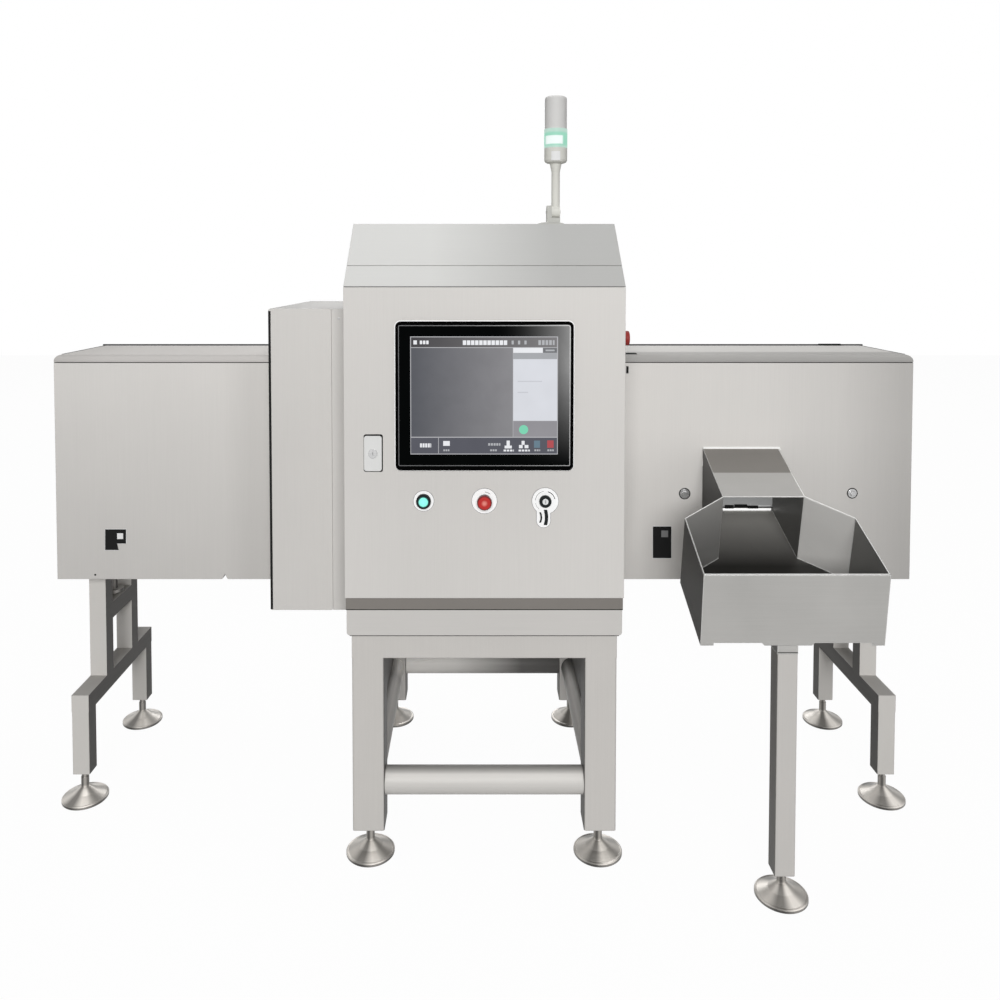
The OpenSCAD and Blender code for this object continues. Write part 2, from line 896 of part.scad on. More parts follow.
module tower_pole() {
    fold_z = roof_top + fold_up;
    side = pole_dia / 2;
    low = pole_top + base_shoulder;
    color([0.83, 0.80, 0.74]) set_down() {
        difference() {
            union() {
                rod_x(root_r, tower_y, fold_z, tower_x - side, tower_x + side);
                rod_z(side, tower_x, tower_y, fold_z, pole_top);
            }
            rod_x(fold_pin_r + running, tower_y, fold_z, tower_x - pole_dia, tower_x + pole_dia);
        }
        translate([tower_x, tower_y, 0]) rotate_extrude($fn = fine) polygon([
            [0, pole_top - overrun], [side, pole_top - overrun], [neck_r, low],
            [base_r - base_round, low], [base_r - base_round / 3, low + base_round / 3],
            [base_r, low + base_round], [base_r, base_top], [0, base_top]]);
    }
}

module tower_green_lens() {
    color([0.55, 0.95, 0.80]) set_down() translate([tower_x, tower_y, base_top])
        cylinder(r = lens_dia / 2, h = green_h, $fn = fine);
}

module tower_top_lens() {
    low = base_top + green_h;
    top = low + top_lens_h;
    r = lens_dia / 2 - lens_lip;
    color([0.80, 0.79, 0.76]) set_down() translate([tower_x, tower_y, 0])
        rotate_extrude($fn = fine) polygon(concat(
            [[0, low], [r, low]],
            [for (a = [0 : 15 : 90]) [r - lens_round * (1 - cos(a)),
                                      top - lens_round * (1 - sin(a))]],
            [[0, top]]));
}

module side_box() {
    right = -cab_w / 2;
    back = box_front + box_d;
    top = box_low + box_h;
    open_w = box_left + box_cover_w;
    color(steel) set_down() difference() {
        union() {
            block([box_left, box_front + box_cover_t, box_low], [right, back, top]);
            block([open_w + seat, box_front + box_step, box_low], [right, back, top]);
        }
        block([box_left + sheet, box_front + box_cover_t + sheet, box_low + sheet],
              [right + overrun, back - sheet, top - sheet]);
        block([open_w - seat, box_front + box_step + sheet, box_low + sheet],
              [right + overrun, back - sheet, top - sheet]);
        block([box_left + sheet * 6, box_front, box_low + sheet * 6],
              [open_w - sheet * 3, box_front + box_cover_t + 2 * sheet, top - sheet * 6]);
        block([box_left - overrun, tunnel_front + tunnel_wall, rail_low],
              [box_left + sheet + overrun, tunnel_back - tunnel_wall, tunnel_top - tunnel_wall]);
    }
}

module side_box_cover() {
    mid_x = box_left + box_cover_w / 2;
    mid_z = box_low + box_h / 2;
    color(steel) set_down() difference() {
        door_plate(box_cover_w, box_h, box_round, mid_x, mid_z, box_front, box_front + box_cover_t);
        door_plate(box_cover_w - 2 * sheet, box_h - 2 * sheet, box_round - sheet, mid_x, mid_z,
                   box_front + sheet, box_front + box_cover_t + overrun);
    }
}

// The walls, floor, rear ledge and hinge knuckles of a cover whose open end is at x = 0
module cover_body(l) {
    back = cover_front + cover_d;
    t = cover_sheet;
    difference() {
        union() {
            block([0, cover_front, cover_low], [l, back, wall_top - t]);
            block([0, lid_back, wall_top - 2 * t], [l, back, wall_top]);
            block([0, cover_front, wall_top - 2 * t], [l, cover_front + t, wall_top]);
            block([l - t, cover_front, wall_top - 2 * t], [l, back, wall_top]);
        }
        block([-overrun, cover_front + t, cover_low + t], [l - t, back - t, wall_top - t]);
        block([-overrun, cover_front + t, wall_top - 3 * t], [l - t, lid_back - t, wall_top + t]);
        block([l - 2 * t, conv_mid - conv_w / 2 - tunnel_side - t, belt_h - mouth_below],
              [l + t, conv_mid + conv_w / 2 + tunnel_side + t, belt_h + mouth_above]);
        for (c = lid_hinge_centres(l))
            block([c - knuckle_l / 2 - seat, lid_back - t, wall_top - 3 * t],
                  [c + knuckle_l / 2 + seat, lid_back + lid_hinge_behind + hinge_r + t,
                   wall_top + t]);
    }
    for (c = lid_hinge_centres(l)) {
        rod_x(lid_pin_r, lid_back + lid_hinge_behind, wall_top + lid_hinge_up,
              c - knuckle_l / 2 - knuckle_side_l, c + knuckle_l / 2 + knuckle_side_l);
        for (x = [c - knuckle_l / 2 - knuckle_side_l, c + knuckle_l / 2 + seat]) {
            rod_x(hinge_r, lid_back + lid_hinge_behind, wall_top + lid_hinge_up,
                  x, x + knuckle_side_l - seat);
            block([x, lid_back + lid_hinge_behind - hinge_r, wall_top - t],
                  [x + knuckle_side_l - seat, lid_back + lid_hinge_behind + hinge_r,
                   wall_top + lid_hinge_up]);
        }
    }
}

function lid_hinge_centres(l) = [l * hinge_at_share, l * (1 - hinge_at_share)];

// Side outline of the lid with a rounded front edge, shrunk by in
module lid_profile(in) {
    low = wall_top + lid_gap - (in > 0 ? overrun : 0);
    difference() {
        translate([cover_front + lid_round, lid_top - lid_round])
            circle(r = lid_round - in, $fn = fine);
        translate([cover_front, low - lid_round]) square([2 * lid_round, lid_round]);
    }
    translate([cover_front + in, low]) square([lid_d - 2 * in, lid_top - lid_round - low]);
    translate([cover_front + lid_round, low]) square([lid_d - lid_round - in, lid_top - in - low]);
}

// Front outline of a lid of length l, rounded at its outer end, or its hollow, in by the sheet
module lid_front(l, in) {
    low = wall_top + lid_gap - (in > 0 ? overrun : 0);
    translate([l - lid_round, lid_top - lid_round]) circle(r = lid_round - in, $fn = fine);
    translate([lid_gap + in, low - lid_round])
        square([l - lid_gap - lid_round - in, lid_top - in - low + lid_round]);
    translate([lid_gap + in, low - lid_round])
        square([l - lid_gap - 2 * in, lid_top - low]);
}

// The lid over a cover of length l, whose open end is at x = 0
module cover_lid(l) {
    t = cover_sheet;
    hinge_y0 = lid_back + lid_hinge_behind;
    hinge_z0 = wall_top + lid_hinge_up;
    difference() {
        intersection() {
            translate([lid_gap, 0, 0]) rotate([90, 0, 90]) linear_extrude(l - lid_gap) lid_profile(0);
            translate([0, cover_front + lid_d, 0]) rotate([90, 0, 0])
                linear_extrude(lid_d) lid_front(l, 0);
        }
        intersection() {
            translate([lid_gap + t, 0, 0]) rotate([90, 0, 90])
                linear_extrude(l - lid_gap - 2 * t) lid_profile(t);
            translate([0, cover_front + lid_d, 0]) rotate([90, 0, 0])
                linear_extrude(lid_d) lid_front(l, t);
        }
    }
    for (c = lid_hinge_centres(l)) difference() {
        union() {
            rod_x(hinge_r, hinge_y0, hinge_z0, c - knuckle_l / 2, c + knuckle_l / 2);
            block([c - knuckle_l / 2, lid_back - t, hinge_z0],
                  [c + knuckle_l / 2, hinge_y0, hinge_z0 + hinge_r]);
        }
        rod_x(lid_pin_r + running, hinge_y0, hinge_z0, c - knuckle_l, c + knuckle_l);
    }
}

module infeed_cover() {
    l = end_x + box_left;
    color(steel) set_down() difference() {
        translate([box_left, 0, 0]) mirror([1, 0, 0]) cover_body(l);
        front_slab([[box_left - notch_from_box - notch_w / 2, cover_low - overrun],
                    [box_left - notch_from_box, cover_low + notch_h],
                    [box_left - notch_from_box + notch_w / 2, cover_low - overrun]],
                   cover_front - overrun, cover_front + notch_deep);
    }
}

module infeed_lid() {
    color(steel) set_down() translate([box_left, 0, 0]) mirror([1, 0, 0]) cover_lid(end_x + box_left);
}

// Height of the chute's rim plane and floor at a depth behind the door's face
function rim_z(y) = hood_top + (y - cover_front) * tan(rim_slope);
function floor_z(y) = belt_h - floor_under_belt + (y - hood_end) * tan(floor_slope);

module outfeed_cover() {
    color(steel) set_down() difference() {
        translate([cab_w / 2, 0, 0]) cover_body(end_x - cab_w / 2);
        block([chute_x + hood_shift - hood_w / 2 - seat, cover_front - overrun,
               floor_z(cover_front) - skirt - hood_clear],
              [chute_x + hood_shift + hood_w / 2 + seat, cover_front + cover_sheet + overrun,
               rim_z(cover_front + cover_sheet) + hood_clear]);
    }
}

module outfeed_lid() {
    color(steel) set_down() translate([cab_w / 2, 0, 0]) cover_lid(end_x - cab_w / 2);
}

module conveyor_frame() {
    front = conv_mid - conv_w / 2;
    back = conv_mid + conv_w / 2;
    end = roller_x + rail_over;
    color(steel) set_down() difference() {
        union() {
            for (y = [front, back - rail_t])
                block([-end, y, rail_low], [end, y + rail_t, rail_top]);
            for (x = [-roller_x, roller_x]) {
                rod_y(boss_r, x, roller_z, front + overrun, front + rail_t + boss_t);
                rod_y(boss_r, x, roller_z, back - rail_t - boss_t, back - overrun);
            }
            block([-roller_x + bed_inset, front + overrun, rail_top - bed_t - seat],
                  [roller_x - bed_inset, back - overrun, rail_top - seat]);
            for (x = [-roller_x * 0.75, -roller_x * 0.38, roller_x * 0.38, roller_x * 0.75])
                block([x - cross_w / 2, front + overrun, rail_low],
                      [x + cross_w / 2, back - overrun, rail_low + cross_t]);
        }
        for (x = [-roller_x, roller_x])
            rod_y(shaft_r + running, x, roller_z, front - overrun, back + overrun);
        block([-beam_slot / 2, front + rail_t + rail_space, rail_top - 2 * bed_t],
              [beam_slot / 2, back - rail_t - rail_space, rail_top + overrun]);
    }
}

// Outline of the belt loop at a distance from the rollers' skin
module loop_outline(out) {
    for (x = [-roller_x, roller_x]) translate([x, 0]) circle(r = roller_r + out, $fn = fine * 2);
    square([2 * roller_x, 2 * (roller_r + out)], center = true);
}

module conveyor_belt() {
    color([0.92, 0.93, 0.94]) set_down() translate([0, conv_mid + belt_w / 2, roller_z])
        rotate([90, 0, 0]) linear_extrude(belt_w) difference() {
            loop_outline(seat + belt_t);
            loop_outline(seat);
        }
}

module roller(x) {
    face = belt_w / 2 + rail_space / 4;
    rod_y(roller_r, x, roller_z, conv_mid - face, conv_mid + face);
    rod_y(shaft_r, x, roller_z, conv_mid - conv_w / 2 - overrun, conv_mid + conv_w / 2 + overrun);
}

module drive_roller() {
    color(dark_steel) set_down() {
        roller(roller_x);
        rod_y(roller_r - belt_t, roller_x, roller_z, conv_mid - belt_w / 2 - rail_space / 2,
              conv_mid + belt_w / 2 + rail_space / 2);
    }
}

module idler_roller() {
    color(steel) set_down() roller(-roller_x);
}

module guide_rails() {
    low = belt_h + guide_above;
    spans = [[-roller_x, tunnel_left - curtain_in * 2],
             [chute_x + hood_shift + hood_w / 2 + guide_post * 4, roller_x]];
    color(steel) set_down() for (s = spans, side = [-1, 1]) {
        y = conv_mid + side * (belt_w / 2 - guide_in);
        outer = conv_mid + side * (conv_w / 2 - rail_t / 2);
        block([s[0], y - guide_t / 2, low], [s[1], y + guide_t / 2, low + guide_h]);
        for (x = [s[0] + guide_post * 2, s[1] - guide_post * 3]) {
            block([x, min(y, outer), low + guide_h / 2],
                  [x + guide_post, max(y, outer), low + guide_h / 2 + guide_t]);
            block([x, outer - rail_t / 2, rail_top],
                  [x + guide_post, outer + rail_t / 2, low + guide_h / 2 + guide_t]);
        }
    }
}

module xray_tunnel() {
    inner_front = tunnel_front + tunnel_wall;
    inner_back = tunnel_back - tunnel_wall;
    color(dark_steel) set_down() difference() {
        block([tunnel_left, tunnel_front, tunnel_low], [tunnel_right, tunnel_back, tunnel_top]);
        block([tunnel_left - overrun, inner_front, rail_low],
              [tunnel_right + overrun, inner_back, tunnel_top - tunnel_wall]);
        block([source_x - beam_slot / 2, conv_mid - belt_w / 2, tunnel_top - 2 * tunnel_wall],
              [source_x + beam_slot / 2, conv_mid + belt_w / 2, tunnel_top + overrun]);
        for (x = [tunnel_left + curtain_in, tunnel_right - curtain_in])
            rod_y(curtain_rod_r + running, x, tunnel_top - tunnel_wall - curtain_drop,
                  tunnel_front - overrun, tunnel_back + overrun);
    }
}

// The finned tube housing on its two feet, and the fan-shaped collimator under it
module xray_source() {
    low = tunnel_top + source_lift;
    fins = floor((source_l - fin_t) / fin_pitch);
    wide = belt_w / 2 + beam_slot;
    color([0.35, 0.42, 0.46]) set_down() difference() {
        union() {
            block([source_x - source_l / 2, conv_mid - source_w / 2, low],
                  [source_x + source_l / 2, conv_mid + source_w / 2, low + source_h]);
            for (i = [0 : fins])
                translate([source_x - source_l / 2 + i * fin_pitch, 0, 0])
                    block([0, conv_mid - source_w / 2 - fin_depth, low + fin_depth],
                          [fin_t, conv_mid + source_w / 2 + fin_depth, low + source_h + fin_depth]);
            for (x = [-source_l / 2, source_l / 2 - source_lift / 2])
                block([source_x + x, conv_mid - source_w / 2, tunnel_top],
                      [source_x + x + source_lift / 2, conv_mid + source_w / 2, low + overrun]);
            side_slab([[conv_mid - wide, tunnel_top], [conv_mid + wide, tunnel_top],
                       [conv_mid + collimator_top_w / 2, low + overrun],
                       [conv_mid - collimator_top_w / 2, low + overrun]],
                      source_x - collimator_t / 2, source_x + collimator_t / 2);
        }
        side_slab([[conv_mid - belt_w / 2, tunnel_top - overrun],
                   [conv_mid + belt_w / 2, tunnel_top - overrun], [conv_mid, low - tunnel_wall]],
                  source_x - beam_slot / 2, source_x + beam_slot / 2);
    }
}

module detector() {
    top = rail_top - bed_t - seat;
    y0 = conv_mid - belt_w / 2 + scan_side;
    y1 = conv_mid + belt_w / 2 - scan_side;
    color([0.25, 0.27, 0.30]) set_down() difference() {
        block([source_x - scan_w / 2, y0, top - scan_h], [source_x + scan_w / 2, y1, top]);
        block([source_x - beam_slot / 2, y0 + scan_side, top - bed_t],
              [source_x + beam_slot / 2, y1 - scan_side, top + overrun]);
    }
}

// A comb of shielding strips below its rod
module curtain(x) {
    rod_z0 = tunnel_top - tunnel_wall - curtain_drop;
    y0 = tunnel_front + tunnel_wall + strip_gap;
    pitch = (tunnel_back - tunnel_front - 2 * tunnel_wall - strip_gap) / curtain_strips;
    rod_y(curtain_rod_r, x, rod_z0, tunnel_front + strip_gap, tunnel_back - strip_gap);
    block([x - curtain_bar / 2, y0, rod_z0 - curtain_bar / 2],
          [x + curtain_bar / 2, tunnel_back - tunnel_wall - strip_gap, rod_z0 + curtain_bar / 2]);
    for (i = [0 : curtain_strips - 1])
        block([x - curtain_t / 2, y0 + i * pitch, belt_h + strip_clear],
              [x + curtain_t / 2, y0 + (i + 1) * pitch - strip_gap, rod_z0]);
}

module infeed_curtain() {
    color(rubber) set_down() curtain(tunnel_left + curtain_in);
}

module outfeed_curtain() {
    color(rubber) set_down() curtain(tunnel_right - curtain_in);
}

module reject_actuator() {
    back = cover_front + cover_d - cover_sheet;
    y = conv_mid + belt_w / 2 + arm_pivot_in / 2;
    z = belt_h + arm_above + arm_h + actuator_above;
    color([0.30, 0.33, 0.37]) set_down() difference() {
        block([arm_pivot_x - actuator_w / 2, y - actuator_w / 4, z],
              [arm_pivot_x + actuator_w / 2, back, z + actuator_h]);
        rod_z(arm_shaft_r + running, arm_pivot_x, y, z - overrun, z + actuator_h / 2);
    }
}

module reject_arm() {
    y = conv_mid + belt_w / 2 + arm_pivot_in / 2;
    low = belt_h + arm_above;
    color([0.90, 0.91, 0.92]) set_down() {
        rod_z(arm_hub_r, arm_pivot_x, y, low, low + arm_h);
        rod_z(arm_shaft_r, arm_pivot_x, y, low, low + arm_h + actuator_above + actuator_h / 3);
        block([arm_pivot_x, y - arm_t / 2, low], [arm_pivot_x + arm_l, y + arm_t / 2, low + arm_h]);
    }
}

// One welded stand whose tubes' low side is at x
module stand(x) {
    wall = tube_wall_thin;
    front = stand_front;
    back = stand_front + stand_l;
    beam_low_z = stand_beam_top - tube_side;
    upper_back = upper_front + stand_top_l;
    cross_top = cover_low - cross_drop;
    mid = (upper_front + upper_back) / 2;
    hollow = tube_side - 2 * wall;
    for (y = [front, back - tube_side])
        leg_tube(x, y, foot_h, beam_low_z + overrun, tube_side, wall, wall);
    difference() {
        block([x, front, beam_low_z], [x + tube_side, back, stand_beam_top]);
        block([x + wall, front + wall, beam_low_z + wall],
              [x + wall + hollow, back - wall, stand_beam_top - wall]);
        for (y = [front + wall, back - tube_side + wall])
            block([x + wall, y, beam_low_z - overrun], [x + wall + hollow, y + hollow, stand_beam_top - wall]);
    }
    for (y = [upper_front, upper_back - tube_side]) difference() {
        block([x, y, stand_beam_top - overrun], [x + tube_side, y + tube_side, cover_low]);
        block([x + wall, y + wall, stand_beam_top + wall],
              [x + tube_side - wall, y + tube_side - wall, cover_low + overrun]);
    }
    block([x, upper_front + tube_side - overrun, cross_top - tube_side],
          [x + tube_side, upper_back - tube_side + overrun, cross_top]);
    rod_z(pad_stem_r, x + tube_side / 2, mid, cross_top - overrun, cover_low);
    rod_z(pad_r, x + tube_side / 2, mid, cross_top + pad_t, cross_top + 2 * pad_t);
    rod_z(pad_r * 0.7, x + tube_side / 2, mid, cover_low - pad_t, cover_low);
}

module infeed_stand() {
    color(steel) set_down() stand(-end_x + stand_in);
}

module outfeed_stand() {
    color(steel) set_down() stand(end_x - stand_in - tube_side);
}

// Place along the throat plan, square to the lean of the chute's cross edges
function throat_s(out) = let (y = cover_front - out)
    y * cos(throat_lean) + rim_z(y) * sin(throat_lean);

// Plan of hood, flare and bin, shrunk by in, drawn out along the lean
module throat_plan(in) {
    run = throat_s(hood_out) - throat_s(flare_out);
    widen = (bin_w - hood_w) / 2;
    far = bin_w / 2 - in;
    left = hood_shift - hood_w / 2 + in;
    right = hood_shift + hood_w / 2 - in;
    left_fold = in * tan(atan2(widen + hood_shift, run) / 2);
    right_fold = in * tan(atan2(widen - hood_shift, run) / 2);
    s1 = throat_s(hood_out);
    s2 = throat_s(flare_out);
    translate([chute_x, 0, 0]) rotate([throat_lean, 0, 0]) translate([0, 0, -slab_overrun])
        linear_extrude(4 * slab_overrun)
            polygon([[left, s1 + 2 * slab_overrun], [left, s1 - left_fold], [-far, s2 - left_fold],
                     [-far, s2 - 2 * slab_overrun], [far, s2 - 2 * slab_overrun],
                     [far, s2 - right_fold], [right, s1 - right_fold],
                     [right, s1 + 2 * slab_overrun]]);
}

// Depth of the bin's front plate at a height
function front_y(z) = -bin_reach + (rim_z(-bin_reach) - z) * tan(front_lean);

// Height where the socket under the bin ends and the leg tube starts
function leg_socket_low() = floor_z(-chute_leg_front) - skirt - socket_h;

// A shallow cut-out in the lower edge of the front plate, with a slanted end beside the leg
module notch(inner, outer, slope) {
    z = floor_z(front_y(floor_z(-bin_reach)));
    front_slab([[inner, z - 2 * skirt], [inner + slope, z - chute_sheet],
                [outer, z - chute_sheet], [outer, z - 2 * skirt]],
               -bin_reach - overrun, front_y(z) + 3 * chute_sheet);
}

// The hood, the flared throat and the open bin, folded from sheet, with the leg's socket below
module chute() {
    t = chute_sheet;
    lid_t = t / cos(rim_slope);
    z0 = floor_z(front_y(floor_z(-bin_reach)));
    z1 = rim_z(-bin_reach);
    open_z = z1 + 2 * skirt;
    back = hood_end + overrun;
    hood_y = cover_front - hood_out;
    low = -skirt - overrun;
    leg_x = chute_x - chute_leg_shift;
    leg_y = -chute_leg_front + tube_side / 2;
    color(steel) set_down() difference() {
        union() {
            difference() {
                intersection() {
                    side_slab([[hood_end, floor_z(hood_end) - skirt], [hood_end, rim_z(hood_end)],
                               [-bin_reach, z1], [front_y(z0 - skirt), z0 - skirt]],
                              chute_x - bin_w, chute_x + bin_w);
                    throat_plan(0);
                }
                intersection() {
                    side_slab([[back, floor_z(back)], [back, rim_z(back) - lid_t],
                               [hood_y, rim_z(hood_y) - lid_t], [hood_y, rim_z(hood_y) + open_z],
                               [front_y(open_z) + t, open_z], [front_y(z0) + t, z0]],
                              chute_x - bin_w - overrun, chute_x + bin_w + overrun);
                    throat_plan(t);
                }
                intersection() {
                    side_slab([[back, floor_z(back) + low], [back, floor_z(back) - t],
                               [front_y(z0) + t, z0 - t], [front_y(z0) + t, z0 + low]],
                              chute_x - bin_w - overrun, chute_x + bin_w + overrun);
                    throat_plan(t);
                }
            }
            side_slab([[leg_y - tube_side / 2, leg_socket_low()],
                       [leg_y + tube_side / 2, leg_socket_low()],
                       [leg_y + tube_side / 2, floor_z(leg_y + tube_side / 2) - t / 2],
                       [leg_y - tube_side / 2, floor_z(leg_y - tube_side / 2) - t / 2]],
                      leg_x - tube_side / 2, leg_x + tube_side / 2);
        }
        translate([leg_x, leg_y, leg_socket_low() - overrun])
            linear_extrude(socket_h - socket_wall + overrun)
                square([tube_side - 2 * socket_wall, tube_side - 2 * socket_wall], center = true);
        notch(leg_x - tab_w / 2, chute_x - bin_w / 2 + tab_side_w, -tab_slope);
        notch(leg_x + tab_w / 2, chute_x + bin_w / 2 - tab_side_w, tab_slope);
    }
}

module chute_leg() {
    spigot = tube_side - 2 * socket_wall - 2 * seat;
    plug = tube_side - tube_wall_thin;
    x = chute_x - chute_leg_shift;
    y = -chute_leg_front + tube_side / 2;
    top = leg_socket_low();
    color(steel) set_down() {
        leg_tube(x - tube_side / 2, y - tube_side / 2, chute_foot_h, top, tube_side,
                 tube_wall_thin, tube_wall_thin);
        translate([x, y, top - spigot_h]) linear_extrude(spigot_h)
            square([plug, plug], center = true);
        translate([x, y, top - overrun])
            linear_extrude(overrun + socket_h - socket_wall - seat)
                square([spigot, spigot], center = true);
    }
}

// A levelling foot: disc with its cone, hub and collar on the stem, under a leg whose end is at h
module foot(x, y, h = foot_h) {
    disc_r = foot_dia / 2;
    stem_r = stem_dia / 2;
    color([0.74, 0.73, 0.71]) set_down() translate([x, y, 0])
        rotate_extrude($fn = fine * 2) polygon([
            [0, 0], [disc_r - edge_bevel, 0], [disc_r, edge_bevel],
            [disc_r, disc_edge - edge_bevel], [disc_r - edge_bevel, disc_edge],
            [disc_r - cone_in, disc_edge], [cone_mid_r, cone_mid], [hub_r, hub_top],
            [collar_r, hub_top + edge_bevel], [collar_r, h - collar_under],
            [stem_r, h - collar_under + edge_bevel], [stem_r, h + plug_t + stem_above],
            [0, h + plug_t + stem_above]]);
}

module base_foot_front_left() foot(frame_left + leg_side / 2, frame_front + leg_side / 2);

module base_foot_front_right() foot(-frame_left - leg_side / 2, frame_front + leg_side / 2);

module base_foot_rear_left() foot(frame_left + leg_side / 2, frame_back - leg_side / 2);

module base_foot_rear_right() foot(-frame_left - leg_side / 2, frame_back - leg_side / 2);

module infeed_foot_front() foot(-end_x + stand_in + tube_side / 2, stand_front + tube_side / 2);

module infeed_foot_rear()
    foot(-end_x + stand_in + tube_side / 2, stand_front + stand_l - tube_side / 2);

module outfeed_foot_front() foot(end_x - stand_in - tube_side / 2, stand_front + tube_side / 2);

module outfeed_foot_rear()
    foot(end_x - stand_in - tube_side / 2, stand_front + stand_l - tube_side / 2);

module chute_foot()
    foot(chute_x - chute_leg_shift, -chute_leg_front + tube_side / 2, chute_foot_h);

base_frame();
base_stretchers();
base_side_panels();
base_tray();
cabinet_shell();
roof_strip();
roof_cover();
rear_panel();
cable_gland();
control_gear();
hinge_posts();
door_panel();
door_seal();
door_hinges();
lock_plate();
lock_cylinder();
hmi_panel();
hmi_screen();
legend_discs();
button_collars();
green_button();
red_button();
key_switch();
estop_base();
estop_button();
tower_bracket();
tower_pole();
tower_green_lens();
tower_top_lens();
side_box();
side_box_cover();
infeed_cover();
infeed_lid();
outfeed_cover();
outfeed_lid();
conveyor_frame();
conveyor_belt();
drive_roller();
idler_roller();
guide_rails();
xray_tunnel();
xray_source();
detector();
infeed_curtain();
outfeed_curtain();
reject_actuator();
reject_arm();
infeed_stand();
outfeed_stand();
chute();
chute_leg();
base_foot_front_left();
base_foot_front_right();
base_foot_rear_left();
base_foot_rear_right();
infeed_foot_front();
infeed_foot_rear();
outfeed_foot_front();
outfeed_foot_rear();
chute_foot();
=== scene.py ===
import math

import bmesh
import bpy
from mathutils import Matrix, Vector
from mathutils.bvhtree import BVHTree


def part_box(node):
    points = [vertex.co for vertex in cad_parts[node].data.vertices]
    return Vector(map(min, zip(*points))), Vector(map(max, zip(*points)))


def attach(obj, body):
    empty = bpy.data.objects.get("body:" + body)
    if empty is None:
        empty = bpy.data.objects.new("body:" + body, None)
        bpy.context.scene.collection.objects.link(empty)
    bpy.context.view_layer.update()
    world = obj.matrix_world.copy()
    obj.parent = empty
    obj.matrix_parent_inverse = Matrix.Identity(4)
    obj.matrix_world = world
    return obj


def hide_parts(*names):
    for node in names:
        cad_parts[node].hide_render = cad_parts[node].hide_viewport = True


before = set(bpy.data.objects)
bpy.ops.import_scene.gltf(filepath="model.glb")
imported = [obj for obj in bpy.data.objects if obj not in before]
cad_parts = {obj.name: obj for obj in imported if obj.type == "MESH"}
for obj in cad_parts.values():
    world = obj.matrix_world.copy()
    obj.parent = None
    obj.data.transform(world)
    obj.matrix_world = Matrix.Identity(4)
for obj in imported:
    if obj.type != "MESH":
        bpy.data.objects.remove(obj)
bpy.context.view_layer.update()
MM = 0.001

# Where the frame puts the pieces that the details sit on
DOOR_LOW, DOOR_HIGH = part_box("door_panel")
COVER_IN_LOW, COVER_IN_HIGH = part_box("infeed_cover")
COVER_OUT_LOW, COVER_OUT_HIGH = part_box("outfeed_cover")
BOX_LOW, BOX_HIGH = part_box("side_box")
BOX_COVER_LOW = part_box("side_box_cover")[0]
SCREEN_LOW, SCREEN_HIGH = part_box("hmi_screen")
DISCS_LOW, DISCS_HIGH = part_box("legend_discs")
SHELL_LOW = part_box("cabinet_shell")[0]
STRIP_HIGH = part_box("roof_strip")[1]
TRAY_LOW, TRAY_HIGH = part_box("base_tray")
FRAME_LOW, FRAME_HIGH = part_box("base_frame")
PANELS_LOW, PANELS_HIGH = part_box("base_side_panels")
REAR_LOW, REAR_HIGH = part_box("rear_panel")
LOCK_LOW, LOCK_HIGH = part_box("lock_plate")
STOP_LOW, STOP_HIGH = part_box("estop_button")
POLE_LOW, POLE_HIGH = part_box("tower_pole")
LENS_LOW, LENS_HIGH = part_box("tower_green_lens")
CHUTE_LOW, CHUTE_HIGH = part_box("chute")
LEG_LOW, LEG_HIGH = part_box("chute_leg")
LID_IN_LOW, LID_IN_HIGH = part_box("infeed_lid")
LID_OUT_LOW, LID_OUT_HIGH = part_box("outfeed_lid")
DOOR_FACE = DOOR_LOW.y


# Node helpers
NOISE_LOW, NOISE_HIGH = 0.3, 0.7


